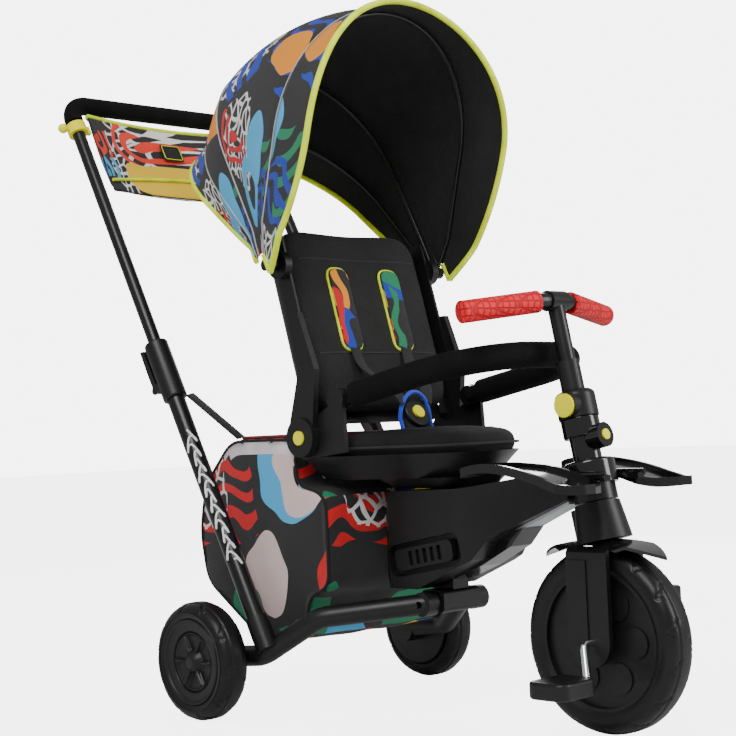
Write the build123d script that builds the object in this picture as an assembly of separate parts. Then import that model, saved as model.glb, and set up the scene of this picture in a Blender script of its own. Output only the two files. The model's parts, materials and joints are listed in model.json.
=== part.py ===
from build123d import *
from math import atan2, cos, degrees, hypot, radians, sin, tan
import os

# A child's tricycle with a parent's push handle, a canopy and a storage bag.
# Millimetres. +Z is up, the child faces -Y and the child's right hand is at -X.
# The origin is on the floor, below the middle of the tricycle.

# ---------------------------------------------------------------- driving dimensions
REAR_WHEEL_R = 85
REAR_WHEEL_WIDTH = 48
REAR_TRACK = 470
FRONT_WHEEL_R = 122
WHEELBASE = 557
REAR_AXLE_Y = 159
RAKE = 11.5                 # the steering axis leans back by this many degrees
TRAIL = 28                  # the front axle is this far behind the steering axis
POLE_LEAN = 27.7            # the push handle's poles lean back by this many degrees
POLE_X = 193
POLE_FOOT = (67, 116)       # y and z where the poles stand in the rear legs
BACKREST_PIVOT = (10, 400)  # y and z
BACKREST_LEAN = 15.5
CANOPY_PIVOT = (45, 650)    # y and z
SEAT_HALF_WIDTH = 140

# ---------------------------------------------------------------- clearances and walls
RUNNING = 0.06              # radial clearance of a pin or shaft that turns
WALL = 3
FABRIC = 2.5
GAP = 0.5

SIDES = {"right": -1, "left": 1}
parts = {}

FRONT_AXLE_Y = REAR_AXLE_Y - WHEELBASE
steering = Plane(
    origin=(0, FRONT_AXLE_Y - TRAIL, FRONT_WHEEL_R),
    x_dir=(1, 0, 0),
    z_dir=(0, sin(radians(RAKE)), cos(radians(RAKE))),
)
poles = Plane(
    origin=(0, *POLE_FOOT),
    x_dir=(1, 0, 0),
    z_dir=(0, sin(radians(POLE_LEAN)), cos(radians(POLE_LEAN))),
)
backrest = Plane(
    origin=(0, *BACKREST_PIVOT),
    x_dir=(1, 0, 0),
    z_dir=(0, sin(radians(BACKREST_LEAN)), cos(radians(BACKREST_LEAN))),
)


# ---------------------------------------------------------------- shared shapes
def add(node, *solids):
    """Keep the solids of one node."""
    parts[node] = solids[0] if len(solids) == 1 else Compound(children=list(solids))


def rod_x(x0, x1, y, z, r):
    """A round bar along X."""
    return Pos((x0 + x1) / 2, y, z) * Rot(0, 90, 0) * Cylinder(r, abs(x1 - x0))


def ring_x(x0, x1, y, z, r, hole):
    """A round bar along X with a hole through it."""
    return rod_x(x0, x1, y, z, r) - rod_x(x0, x1, y, z, hole)


def rod_z(z0, z1, r, x=0, y=0):
    """A round bar along Z."""
    return Pos(x, y, (z0 + z1) / 2) * Cylinder(r, z1 - z0)


def block(x, y, z):
    """A box from its low and high limits on each axis."""
    size = [b - a for a, b in (x, y, z)]
    middle = [(a + b) / 2 for a, b in (x, y, z)]
    return Pos(*middle) * Box(*size)


def tube_along(path, r):
    """A round bar along a path."""
    start = Plane(origin=path @ 0, z_dir=path % 0)
    return sweep(start * Circle(r), path=path)


def side_shape(points, x0, x1, fillet_r=0):
    """A flat outline in Y and Z, with rounded corners, extruded along X."""
    outline = Plane.YZ * make_face(Polyline(*points, close=True))
    if fillet_r:
        outline = fillet(outline.vertices(), fillet_r)
    return Pos(x0, 0, 0) * extrude(outline, amount=x1 - x0, dir=(1, 0, 0))


def mirrored(side, solid):
    """The solid as drawn at +X, or its mirror image for the right side."""
    return solid if side > 0 else mirror(solid, about=Plane.YZ)


def on_both_sides(name, make):
    """One node for each side: name_right and name_left."""
    for word, side in SIDES.items():
        add(f"{name}_{word}", mirrored(side, make()))


def pair(solid):
    """The solid as drawn at +X, and its mirror image, as two solids."""
    return [mirrored(side, solid) for side in SIDES.values()]


# ---------------------------------------------------------------- rear wheels and legs
WHEEL_IN = REAR_TRACK / 2 - REAR_WHEEL_WIDTH / 2
WHEEL_OUT = REAR_TRACK / 2 + REAR_WHEEL_WIDTH / 2
REAR_RIM_R = 62
AXLE_R = 6
HUB_R = 14
LEG_R = 15
LEG_X = 188
BRACKET_Y, BRACKET_Z = -120, 160


def wheel_tyre(x0, x1, y, z, r, rim_r, shoulder):
    """A tyre with rounded shoulders, its bore on the rim."""
    tyre = rod_x(x0, x1, y, z, r)
    tyre = fillet(tyre.edges().filter_by(GeomType.CIRCLE), shoulder)
    return tyre - rod_x(x0, x1, y, z, rim_r)


def rear_tyre():
    return wheel_tyre(
        WHEEL_IN, WHEEL_OUT, REAR_AXLE_Y, REAR_WHEEL_R, REAR_WHEEL_R, REAR_RIM_R, 13
    )


def rear_hub():
    """A rim, a dished web with six raised sectors, and a hub bored for the axle."""
    y, z = REAR_AXLE_Y, REAR_WHEEL_R
    rim = ring_x(WHEEL_IN + 3, WHEEL_OUT - 3, y, z, REAR_RIM_R, REAR_RIM_R - 4)
    web_x = WHEEL_OUT - 16
    hub = rim + rod_x(web_x, web_x + 5, y, z, REAR_RIM_R - 2)
    hub += rod_x(WHEEL_IN - 2, WHEEL_OUT - 7, y, z, HUB_R)
    for k in range(6):
        sector = Pos(0, 37, 0) * Cylinder(13, 3)
        turned = Rot(0, 90, 0) * Rot(0, 0, 60 * k) * sector
        hub += Pos(web_x + 6, y, z) * turned
    return hub - rod_x(WHEEL_IN - 3, WHEEL_OUT, y, z, AXLE_R + RUNNING)


def rear_cap():
    """A round cap over the end of the axle."""
    y, z = REAR_AXLE_Y, REAR_WHEEL_R
    cap = rod_x(WHEEL_OUT - 7, WHEEL_OUT - 1.5, y, z, 10.5)
    return cap - rod_x(WHEEL_OUT - 8, WHEEL_OUT - 4, y, z, 8)


def rear_axle():
    return rod_x(LEG_X - 12, WHEEL_OUT - 6, REAR_AXLE_Y, REAR_WHEEL_R, AXLE_R)


def rear_leg():
    """A moulded leg from the axle boss forward and inward to the pivot under the seat."""
    path = FilletPolyline(
        (LEG_X, REAR_AXLE_Y, REAR_WHEEL_R),
        (LEG_X, POLE_FOOT[0] + 8, 92),
        (150, -6, 146),
        (50, BRACKET_Y, BRACKET_Z),
        radius=45,
    )
    leg = tube_along(path, LEG_R)
    leg += rod_x(LEG_X - 14, WHEEL_IN - 4, REAR_AXLE_Y, REAR_WHEEL_R, 24)
    leg += rod_x(40, 62, BRACKET_Y, BRACKET_Z, 17)
    leg += poles.location * rod_z(-16, 34, 16.5, x=POLE_X)
    leg -= poles.location * rod_z(0, 40, 13.5, x=POLE_X)
    leg -= rod_x(LEG_X - 12, WHEEL_IN, REAR_AXLE_Y, REAR_WHEEL_R, AXLE_R)
    return leg - rod_x(30, 70, BRACKET_Y, BRACKET_Z, PIVOT_R)


def rear_wheel_pieces():
    on_both_sides("rear_tyre", rear_tyre)
    for word, side in SIDES.items():
        add(f"rear_hub_{word}", mirrored(side, rear_hub()), mirrored(side, rear_cap()))
    add("rear_legs", *pair(rear_leg()))


# ---------------------------------------------------------------- frame and housing
HEAD_R = 29
HEAD_BORE_R = 16
HEAD_LOW, HEAD_HIGH = 183, 236    # along the steering axis, from the front hub
STEERER_R = 12.5
HOUSING_HALF_WIDTH = 60
HOUSING_SIDE = [
    (-363, 305),
    (-254, 261),
    (-233, 248),
    (-211, 223),
    (-164, 203),
    (-112, 181),
    (-58, 181),
    (-42, 200),
    (-46, 284),
    (-62, 318),
    (-200, 322),
    (-363, 346),
]
HOUSING_PLAN = [(27, -365), (40, -262), (60, -190), (60, -60), (46, -40)]
LATCH_MIDDLE = (-127, 229)     # y and z of the recess for the latch grip
LATCH_TILT = 10                # the recess rises forward by this many degrees
LATCH_LENGTH, LATCH_HEIGHT = 138, 46
LATCH_DEPTH = 12
LATCH_BAR_AT = -40             # the bar's place along the recess, forward of its middle
SPINE_R = 14
SEAT_POST_R = 16
PIVOT_R = 5
SPINE_REAR = Vector(0, -85, 232)
SPINE_FRONT = Vector(0, -385, 331)


def housing_solid(inset):
    """The housing's left half, filled, drawn this far inside its outer face."""
    side = make_face(Polyline(*HOUSING_SIDE, close=True))
    plan = make_face(
        Polyline(*HOUSING_PLAN, *[(-x, y) for x, y in reversed(HOUSING_PLAN)], close=True)
    )
    side = fillet(side.vertices(), 6)
    if inset:
        side = offset(side, amount=-inset)
        plan = offset(plan, amount=-inset)
    half = extrude(Plane.YZ * side, amount=HOUSING_HALF_WIDTH, dir=(1, 0, 0))
    return half & extrude(plan, amount=400)


def spine_bar(r):
    """A round bar where the steel spine runs."""
    along = SPINE_FRONT - SPINE_REAR
    return extrude(Plane(origin=SPINE_REAR, z_dir=along) * Circle(r), amount=along.length)


def main_frame():
    """The welded steel frame: head tube, spine, seat post and the legs' bracket."""
    lug = block((-16, 16), (-140, -100), (178, 232))
    foot = block((-38, 38), (-142, -98), (146, 178))
    foot = fillet(foot.edges().filter_by(Axis.X), 8)
    post = rod_z(240, 322.5, SEAT_POST_R, y=-110)
    head = steering.location * rod_z(HEAD_LOW, HEAD_HIGH, HEAD_R)
    frame = spine_bar(SPINE_R) + lug + foot + post + head
    frame -= spine_bar(SPINE_R - 2)
    frame -= steering.location * rod_z(HEAD_LOW - 1, HEAD_HIGH + 1, HEAD_BORE_R)
    return frame - rod_x(-40, 40, BRACKET_Y, BRACKET_Z, PIVOT_R)


def on_latch(solid):
    """Place a solid drawn round the middle of the latch recess."""
    return Pos(0, *LATCH_MIDDLE) * Rot(-LATCH_TILT, 0, 0) * solid


def latch_recess(grown):
    """The space of the recess, grown by this much for its lining."""
    y, z = LATCH_LENGTH / 2 + grown, LATCH_HEIGHT / 2 + grown
    recess = block((HOUSING_HALF_WIDTH - LATCH_DEPTH - grown, 80), (-y, y), (-z, z))
    return on_latch(fillet(recess.edges().filter_by(Axis.X), 14 + grown))


def housing_half():
    """One shell of the housing, with a recess in its side for the latch grip."""
    outer = housing_solid(0)
    shell = outer - housing_solid(WALL)
    shell += latch_recess(WALL) & outer
    shell -= latch_recess(0)
    shell -= block((0, 17), (-141, -99), (170, 196))
    shell -= on_latch(block((0, 60), (LATCH_BAR_AT - 6, LATCH_BAR_AT + 18), (-6, 6)))
    shell -= steering.location * rod_z(HEAD_LOW - 30, HEAD_HIGH + 30, HEAD_R)
    shell -= rod_z(300, 340, SEAT_POST_R, y=-110)
    return shell - spine_bar(SPINE_R)


def belly_shape():
    """The small cover's whole block, below the housing."""
    outline = [(-279, 266), (-256, 241), (-200, 213), (-146, 192), (-160, 206), (-256, 262)]
    return side_shape(outline, -22, 22)


def silver_strip():
    """The bright strip under the front of the housing."""
    (y0, z0), (y1, z1) = HOUSING_SIDE[0], HOUSING_SIDE[1]
    slope = degrees(atan2(z0 - z1, y0 - y1))
    strip = Pos(0, (y0 + y1) / 2, (z0 + z1) / 2) * Rot(slope, 0, 0) * (
        Pos(0, 0, 2) * Box(34, hypot(y1 - y0, z1 - z0) - 16, 4)
    )
    strip -= spine_bar(SPINE_R + GAP) + belly_shape()
    return strip - steering.location * rod_z(HEAD_LOW - 30, HEAD_HIGH, HEAD_R)


def belly_cover():
    """The small cover below the housing, behind the strip."""
    return belly_shape() - housing_solid(0) - mirrored(-1, housing_solid(0))


def latch_grip():
    """A ridged grip in the side recess."""
    y = LATCH_LENGTH / 2 - 13
    grip = block((HOUSING_HALF_WIDTH - 9, HOUSING_HALF_WIDTH), (-y, y), (-15, 15))
    grip = fillet(grip.edges().filter_by(Axis.X), 9)
    for k in range(5):
        low = -34 + 14 * k
        grip -= block((HOUSING_HALF_WIDTH - 5, 80), (low, low + 7), (-10, 10))
    return grip


def latch():
    """The two grips and the bar that joins them through the housing."""
    grips = pair(latch_grip())
    return on_latch(grips[0] + grips[1] + rod_x(-52, 52, LATCH_BAR_AT, 0, 5))


def seat_neck():
    """The moulding between the housing and the seat."""
    low = Pos(0, -120, 322.5) * RectangleRounded(108, 130, 30)
    high = Pos(0, -112, 337.5) * RectangleRounded(150, 170, 45)
    return loft([low, high])


def bushes():
    """The steering's two bearings and the bushes in which the handle slides."""
    rings = []
    for low in (HEAD_LOW, HEAD_HIGH - 14):
        ring = rod_z(low, low + 14, HEAD_BORE_R) - rod_z(low - 1, low + 15, STEERER_R + RUNNING)
        rings.append(steering.location * ring)
    return rings + pair(pole_bush())


def pins():
    """Every fixed pin of the frame."""
    leg_pin = rod_x(-64, 64, BRACKET_Y, BRACKET_Z, PIVOT_R)
    pins = [rear_axle(), lever_pin(), footrest_pin(), hinge_pin(), bumper_pin()]
    return [leg_pin] + [solid for pin in pins for solid in pair(pin)]


def frame_pieces():
    add("main_frame", main_frame())
    add("bushes", *bushes())
    on_both_sides("housing", housing_half)
    add("silver_strip", silver_strip())
    add("belly_cover", belly_cover())
    add("latch_grips", latch())
    add("pins", *pins())


# ---------------------------------------------------------------- footrests
FOOTREST_HINGE_X = 42
FOOTREST_HINGE_Y = -384
FOOTREST_Z = 338
FOOTREST_PLAN = [
    (44.5, -347),
    (60, -319),
    (92, -256),
    (118, -252),
    (124, -340),
    (132, -430),
    (116, -462),
    (88, -458),
    (60, -445),
    (44.5, -421),
]
# the wing's arched top, from its rear to its front tip: y and z
FOOTREST_ARCH = [(-245, 347), (-294, 357), (-345, 353), (-400, 340), (-440, 329), (-470, 331)]
FOOTREST_THICK = 12
FOOTREST_BARREL = 90


def along_footrest(r, length, y=FOOTREST_HINGE_Y):
    """A round bar on the axis of the left footrest's hinge."""
    return Pos(FOOTREST_HINGE_X, y, FOOTREST_Z) * Rot(90, 0, 0) * Cylinder(r, length)


def footrest_band(low, high):
    """The space between two heights above the wing's arched underside."""
    arch = [(y, z - FOOTREST_THICK) for y, z in FOOTREST_ARCH]
    lower = Spline(*[(y, z + low) for y, z in arch])
    upper = Spline(*[(y, z + high) for y, z in arch])
    ends = [Line(lower @ 1, upper @ 1), Line(upper @ 0, lower @ 0)]
    return extrude(Plane.YZ * make_face([lower, upper, *ends]), amount=200, dir=(1, 0, 0))


def footrest():
    """An arched wing for one foot, with a raised lip round its edge and a hinge barrel."""
    outline = make_face(Polyline(*FOOTREST_PLAN, close=True))
    outline = fillet(outline.vertices(), 8)
    wing = extrude(outline, amount=500) & footrest_band(0, FOOTREST_THICK)
    wing -= extrude(offset(outline, amount=-6), amount=500) & footrest_band(6, 60)
    wing += along_footrest(4.5, FOOTREST_BARREL)
    return wing - along_footrest(2 + RUNNING, 200)


def footrest_bracket():
    """The domed collar on the head tube, with two ears each side for the footrest pins."""
    low, high = FOOTREST_Z - 8, FOOTREST_Z - 1
    collar = rod_z(205, 237, 34)
    collar = fillet(collar.edges().filter_by(GeomType.CIRCLE).sort_by(Axis.Z)[-1], 4.5)
    collar = steering.location * collar
    for side in SIDES.values():
        plate = block((29, 36.5), (FOOTREST_HINGE_Y - 52.5, FOOTREST_HINGE_Y + 52.5), (low, high))
        for end in (-1, 1):
            y = FOOTREST_HINGE_Y + end * (FOOTREST_BARREL / 2 + 4)
            plate += along_footrest(4.5, 7, y)
            plate += block((33, FOOTREST_HINGE_X), (y - 3.5, y + 3.5), (low, high + 1))
        plate -= along_footrest(2, 130)
        collar += mirrored(side, plate)
        collar -= mirrored(side, housing_solid(0))
    return collar - steering.location * rod_z(150, 260, HEAD_R)


def footrest_pin():
    return along_footrest(2, FOOTREST_BARREL + 18)


def footrest_pieces():
    on_both_sides("footrest", footrest)
    add("footrest_bracket", footrest_bracket())


# ---------------------------------------------------------------- front fork and steering
BLADE_IN, BLADE_OUT = 32, 40
BLADE_HALF = 32.5          # half of the blade's width along Y
CROWN_BOTTOM = 246.5       # above the floor, just over the tyre
CONE_LOW, CONE_HIGH = 131, 181
COLUMN_LOW = 238
LOWER_SEAM = 269
COLUMN_SEAM = 295
COLUMN_HIGH = 332
COLUMN_R = 27
COLLAR_R = 25.5
NECK_R = 19
SLEEVE_R = 15.5
SLEEVE_TOP = 373
STEM_R = 11.5
BAR_S = 456                # the handlebar's height along the steering axis
BAR_R = 11
BAR_SWEEP = 15
BAR_DROOP = 6.6
BAR_HALF = 146
GRIP_IN, GRIP_OUT = 34, 147
BUTTON_S, BUTTON_Y = 312, -4
FRONT_BUTTON_S = 265
# the mudguard's tips, middle and edge: y and z
FENDER_TIP_REAR = (-299, 231)
FENDER_TOP = (-398, 253)
FENDER_TIP_FRONT = (-497, 231)
FENDER_HALF = 45
FENDER_EDGE_Z = 226
FENDER_SKIN = 4


def on_steering(solid):
    """Place a solid drawn along the steering axis."""
    return steering.location * solid


def fender_dome():
    """The mudguard's outer shape, filled: arched along its length and across, and pointed in plan."""
    floor_z = FENDER_EDGE_Z
    (y0, z0), (y1, z1), (y2, z2) = FENDER_TIP_REAR, FENDER_TOP, FENDER_TIP_FRONT
    side = make_face(
        [
            ThreePointArc((y0, z0), (y1, z1), (y2, z2)),
            Line((y2, z2), (y2, floor_z)),
            Line((y2, floor_z), (y0, floor_z)),
            Line((y0, floor_z), (y0, z0)),
        ]
    )
    arch = Spline(
        (-FENDER_HALF, floor_z), (-40, 238), (-28, 248), (0, z1), (28, 248), (40, 238), (FENDER_HALF, floor_z)
    )
    front = make_face([arch, Line((FENDER_HALF, floor_z), (-FENDER_HALF, floor_z))])
    plan = make_face(
        [
            ThreePointArc((0, y0), (FENDER_HALF - 1, y1), (0, y2)),
            ThreePointArc((0, y2), (1 - FENDER_HALF, y1), (0, y0)),
        ]
    )
    dome = extrude(Plane.YZ * side, amount=60, dir=(1, 0, 0), both=True)
    dome &= extrude(Plane.XZ * front, amount=600, dir=(0, -1, 0))
    return dome & extrude(plan, amount=400)


def fork_core():
    """The fork's blades and cone, with no bores."""
    y0, y1 = FRONT_AXLE_Y - BLADE_HALF, FRONT_AXLE_Y + BLADE_HALF
    top = FENDER_TOP[1]
    blade = block((BLADE_IN, BLADE_OUT), (y0, y1), (FRONT_WHEEL_R, top))
    blade += rod_x(BLADE_IN, BLADE_OUT, FRONT_AXLE_Y, FRONT_WHEEL_R, BLADE_HALF)
    blade += block((27, BLADE_OUT), (y0, y1), (230, top))
    arms = blade + mirror(blade, about=Plane.YZ)
    arms += block((-BLADE_OUT, BLADE_OUT), (y0, y1), (CROWN_BOTTOM, top))
    ridge = block((BLADE_OUT, BLADE_OUT + 2), (FRONT_AXLE_Y, y1), (FRONT_WHEEL_R, FENDER_EDGE_Z + 2))
    arms &= fender_dome() + block((-60, 60), (-500, -300), (0, FENDER_EDGE_Z + 0.01))
    arms += ridge + mirror(ridge, about=Plane.YZ)
    cone = Pos(0, 0, (CONE_LOW + CONE_HIGH) / 2) * Cone(37, 30, CONE_HIGH - CONE_LOW)
    lock = block((-9, 9), (26, 39), (139, 178))
    return arms + on_steering(cone + lock)


def fork():
    """Two wide blades, a crown over the wheel, a cone up to the head tube and the lock behind it."""
    body = fork_core() - rod_x(-60, 60, FRONT_AXLE_Y, FRONT_WHEEL_R, CRANK_R + RUNNING)
    body -= rod_x(-BLADE_IN, BLADE_IN, FRONT_AXLE_Y, FRONT_WHEEL_R, FRONT_WHEEL_R + 2)
    return body - on_steering(rod_z(CONE_LOW + 2, CONE_HIGH + 1, STEERER_R))


def fender():
    """A mudguard like a hat's brim over the wheel, pointed at the front and the rear."""
    skin = fender_dome() - Pos(0, 0, -FENDER_SKIN) * fender_dome()
    skin -= rod_x(-60, 60, FRONT_AXLE_Y, FRONT_WHEEL_R, FRONT_WHEEL_R + 3)
    return skin - fork_core()


def steerer():
    """The steel tube from the fork through the head tube into the column."""
    tube = rod_z(CONE_LOW + 2, 312, STEERER_R) - rod_z(CONE_LOW, 313, STEERER_R - 2)
    return on_steering(tube)


def column_base():
    """The column's neck and its lower collar, with the round front housing."""
    base = rod_z(COLUMN_LOW, COLUMN_SEAM, NECK_R)
    base += fillet(rod_z(LOWER_SEAM, COLUMN_SEAM, COLLAR_R).edges(), 2)
    base += front_button_seat() - rod_z(COLUMN_SEAM, COLUMN_HIGH, 60)
    base -= rod_z(COLUMN_LOW - 1, COLUMN_HIGH, STEERER_R)
    return on_steering(base - Pos(0, -34, FRONT_BUTTON_S) * Rot(90, 0, 0) * Cylinder(7.3, 16))


def front_button_seat():
    """The space of the front button's round housing."""
    return Pos(0, -26, FRONT_BUTTON_S) * Rot(90, 0, 0) * Cylinder(16.5, 22)


def column_body():
    """The upper body of the column, with a pocket in its right side for the big button."""
    body = rod_z(COLUMN_SEAM, COLUMN_HIGH, COLUMN_R)
    body = fillet(body.edges().filter_by(GeomType.CIRCLE).sort_by(Axis.Z)[-1], 9)
    body += rod_x(-29, -10, BUTTON_Y, BUTTON_S, 17.5) - rod_z(250, COLUMN_SEAM, 60)
    body += rod_z(COLUMN_HIGH - 2, SLEEVE_TOP, SLEEVE_R)
    body -= rod_z(COLUMN_SEAM - 1, 312, STEERER_R) + rod_z(312, SLEEVE_TOP + 1, STEM_R)
    return on_steering(body - rod_x(-40, -19, BUTTON_Y, BUTTON_S, 15.9))


def big_button():
    """The button that frees the steering."""
    return on_steering(rod_x(-33, -23, BUTTON_Y, BUTTON_S, 15.6))


def front_button():
    """The small round button in the front housing."""
    return on_steering(Pos(0, -34.5, FRONT_BUTTON_S) * Rot(90, 0, 0) * Cylinder(7, 9))


def stem():
    """The stem tube and the collar round the handlebar."""
    tube = rod_z(312, BAR_S, STEM_R) - rod_z(311, BAR_S - 30, STEM_R - 2)
    tube += Pos(0, 0, BAR_S) * Rot(0, 90, 0) * Cylinder(14, 34)
    return on_steering(tube) - tube_along(bar_path(), BAR_R)


def bar_point(x):
    """The handlebar's centre line at a distance x from the middle."""
    middle = steering.from_local_coords(Vector(0, 0, BAR_S))
    out = max(abs(x) - 24, 0)
    return Vector(
        x,
        middle.Y + out * tan(radians(BAR_SWEEP)),
        middle.Z - out * tan(radians(BAR_DROOP)),
    )


def bar_path():
    return FilletPolyline(
        bar_point(-BAR_HALF), bar_point(-24), bar_point(24), bar_point(BAR_HALF), radius=40
    )


def grip(side):
    """A rubber grip with a closed end."""
    inner, outer = bar_point(GRIP_IN * side), bar_point((GRIP_OUT + 2) * side)
    along = outer - inner
    body = extrude(Plane(origin=inner, z_dir=along) * Circle(15), amount=along.length)
    end = bar_point((GRIP_OUT - 1) * side)
    hole = extrude(Plane(origin=inner - along, z_dir=along) * Circle(BAR_R), amount=1000)
    hole -= extrude(Plane(origin=end, z_dir=along) * Circle(30), amount=2000)
    return body - hole


def steering_pieces():
    add("fork", fork())
    add("fender", fender())
    add("steerer_tube", steerer())
    add("column_base", column_base())
    add("column_body", column_body())
    add("steering_button", big_button())
    add("front_button", front_button())
    add("stem_tube", stem())
    add("handlebar", tube_along(bar_path(), BAR_R))
    add("handlebar_grips", *[grip(side) for side in SIDES.values()])


# ---------------------------------------------------------------- front wheel and pedals
CRANK_R = 5
CRANK_LENGTH = 48
CRANK_X = 52               # where the crank leaves the hub's axis
CRANK_TURN = 18            # the right pedal stands this many degrees forward of straight down
PEDAL_IN, PEDAL_OUT = 80, 153
PEDAL_HALF = 31            # half of the pedal's length along Y
FRONT_RIM_R = 92


def front_hub():
    """A rim, two dished discs with raised sectors, and a hub fixed on the crank."""
    y, z = FRONT_AXLE_Y, FRONT_WHEEL_R
    hub = ring_x(-21, 21, y, z, FRONT_RIM_R, FRONT_RIM_R - 5)
    hub += ring_x(-26, 26, y, z, 17, CRANK_R)
    for side in SIDES.values():
        disc = ring_x(10 * side, 14 * side, y, z, FRONT_RIM_R - 2, CRANK_R)
        for k in range(6):
            sector = Rot(0, 90, 0) * Rot(0, 0, 60 * k) * (Pos(0, 54, 0) * Cylinder(20, 3))
            disc += Pos(15 * side, y, z) * sector
        hub += disc
    return hub


def pedal_axis(side):
    """The y and z of a pedal's spindle."""
    y = FRONT_AXLE_Y + side * CRANK_LENGTH * sin(radians(CRANK_TURN))
    return y, FRONT_WHEEL_R + side * CRANK_LENGTH * cos(radians(CRANK_TURN))


def crank():
    """One bent steel bar: the axle, an arm each side and the two pedal spindles."""
    path = FilletPolyline(
        (-PEDAL_OUT + 6, *pedal_axis(-1)),
        (-CRANK_X - 14, *pedal_axis(-1)),
        (-CRANK_X, FRONT_AXLE_Y, FRONT_WHEEL_R),
        (CRANK_X, FRONT_AXLE_Y, FRONT_WHEEL_R),
        (CRANK_X + 14, *pedal_axis(1)),
        (PEDAL_OUT - 6, *pedal_axis(1)),
        radius=9,
    )
    return tube_along(path, CRANK_R)


def pedal(side):
    """A platform pedal with rounded ends, bored for the spindle."""
    y, z = pedal_axis(side)
    body = block((PEDAL_IN, PEDAL_OUT), (y - PEDAL_HALF, y + PEDAL_HALF), (z - 11, z + 11))
    body = fillet(body.edges().filter_by(Axis.Z), 16)
    body = fillet(body.edges().group_by(Axis.Z)[-1] + body.edges().group_by(Axis.Z)[0], 4)
    body = mirrored(side, body)
    hole = rod_x((PEDAL_IN - 2) * side, (PEDAL_OUT - 5) * side, y, z, CRANK_R + RUNNING)
    return body - hole


def front_wheel_pieces():
    add(
        "front_tyre",
        wheel_tyre(-25, 25, FRONT_AXLE_Y, FRONT_WHEEL_R, FRONT_WHEEL_R, FRONT_RIM_R, 15),
    )
    add("front_hub", front_hub())
    add("crank", crank())
    for word, side in SIDES.items():
        add(f"pedal_{word}", pedal(side))


# ---------------------------------------------------------------- poles and push handle
LOWER_POLE_R = 13.5
UPPER_POLE_R = 10.25
LOWER_POLE_TOP = 484
CLAMP = (396, 494)
CLAMP_R = 18.5
HANDLE_TOP = 954
LEVER_PIVOT = (425, 25)    # along the pole and behind it
HANDLE_CORNER_R = 34
FOAM_LOW = 916
FOAM_R = 15
CLIP_S = 902


def on_poles(solid):
    """Place a solid drawn along the poles: Z along them, Y behind them."""
    return poles.location * solid


def lower_pole():
    tube = rod_z(0, LOWER_POLE_TOP, LOWER_POLE_R, x=POLE_X)
    return on_poles(tube - rod_z(10, LOWER_POLE_TOP + 1, LOWER_POLE_R - 2, x=POLE_X))


def pole_bush():
    """The bush at the mouth of a lower pole, in which the upper tube slides."""
    bush = rod_z(LOWER_POLE_TOP - 40, LOWER_POLE_TOP, LOWER_POLE_R - 2, x=POLE_X)
    return on_poles(bush - rod_z(400, 600, UPPER_POLE_R + RUNNING, x=POLE_X))


def pole_clamp():
    """The clamp round the joint of the two tubes, with ears for its lever."""
    low, high = CLAMP
    s, n = LEVER_PIVOT
    body = rod_z(low, high, CLAMP_R, x=POLE_X)
    body = fillet(body.edges().filter_by(GeomType.CIRCLE), 3)
    for x in (-13, 11):
        ear = rod_x(POLE_X + x, POLE_X + x + 2, n, s, 6.5)
        ear += block((POLE_X + x, POLE_X + x + 2), (8, n), (s - 6.5, s + 6.5))
        body += ear
    body -= rod_z(low - 1, LOWER_POLE_TOP, LOWER_POLE_R, x=POLE_X)
    body -= rod_z(low, high + 1, UPPER_POLE_R + 0.4, x=POLE_X)
    return on_poles(body - rod_x(POLE_X - 20, POLE_X + 20, n, s, 2.5))


def clamp_lever():
    """The quick-release lever behind a clamp."""
    s, n = LEVER_PIVOT
    profile = [(n - 5, s), (n - 4, s + 40), (n - 3, s + 68), (n + 5, s + 71), (n + 6, s + 30), (n + 5, s)]
    lever = side_shape(profile, POLE_X - 10.5, POLE_X + 10.5)
    lever += rod_x(POLE_X - 10.5, POLE_X + 10.5, n, s, 5.3)
    return on_poles(lever - rod_x(POLE_X - 20, POLE_X + 20, n, s, 2.5 + RUNNING))


def lever_pin():
    s, n = LEVER_PIVOT
    return on_poles(rod_x(POLE_X - 13, POLE_X + 13, n, s, 2.5))


def handle_path(low):
    """The U of the handle, from this height up one side and down the other."""
    points = [(-POLE_X, low), (-POLE_X, HANDLE_TOP), (POLE_X, HANDLE_TOP), (POLE_X, low)]
    places = [poles.from_local_coords(Vector(x, 0, s)) for x, s in points]
    return FilletPolyline(*places, radius=HANDLE_CORNER_R)


def handle_foam():
    return tube_along(handle_path(FOAM_LOW), FOAM_R) - tube_along(handle_path(900), UPPER_POLE_R)


def pouch_clip():
    """A clip round the pole with a round knob and a hook for the pouch."""
    clip = rod_z(CLIP_S - 9, CLIP_S + 9, 16, x=POLE_X)
    clip += rod_x(POLE_X + 14, POLE_X + 25, 0, CLIP_S, 5)
    clip += Pos(POLE_X + 27, 0, CLIP_S) * Sphere(8)
    clip += block((POLE_X - 24, POLE_X - 12), (-3, 3), (CLIP_S - 7, CLIP_S + 7))
    return on_poles(clip - rod_z(CLIP_S - 20, CLIP_S + 20, UPPER_POLE_R, x=POLE_X))


POUCH_LOW, POUCH_HIGH = 773, 929
POUCH_FRONT, POUCH_BACK = -8, 36
POUCH_HALF = 168


def pouch_solid(inset):
    """The pouch, filled, drawn this far inside its outer face."""
    back = POUCH_BACK - inset
    front = POUCH_FRONT + inset
    half = POUCH_HALF - inset
    plan = make_face(
        Polyline((-half, front), (half, front), (half, 12), (90, back), (-90, back), (-half, 12), close=True)
    )
    plan = fillet(plan.vertices().group_by(Axis.Y)[-1], 30)
    return Pos(0, 0, POUCH_LOW + inset) * extrude(plan, amount=POUCH_HIGH - POUCH_LOW)


def pouch():
    """The open-topped pouch that hangs between the poles."""
    body = pouch_solid(0)
    body -= pouch_solid(FABRIC)
    return on_poles(body)


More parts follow.
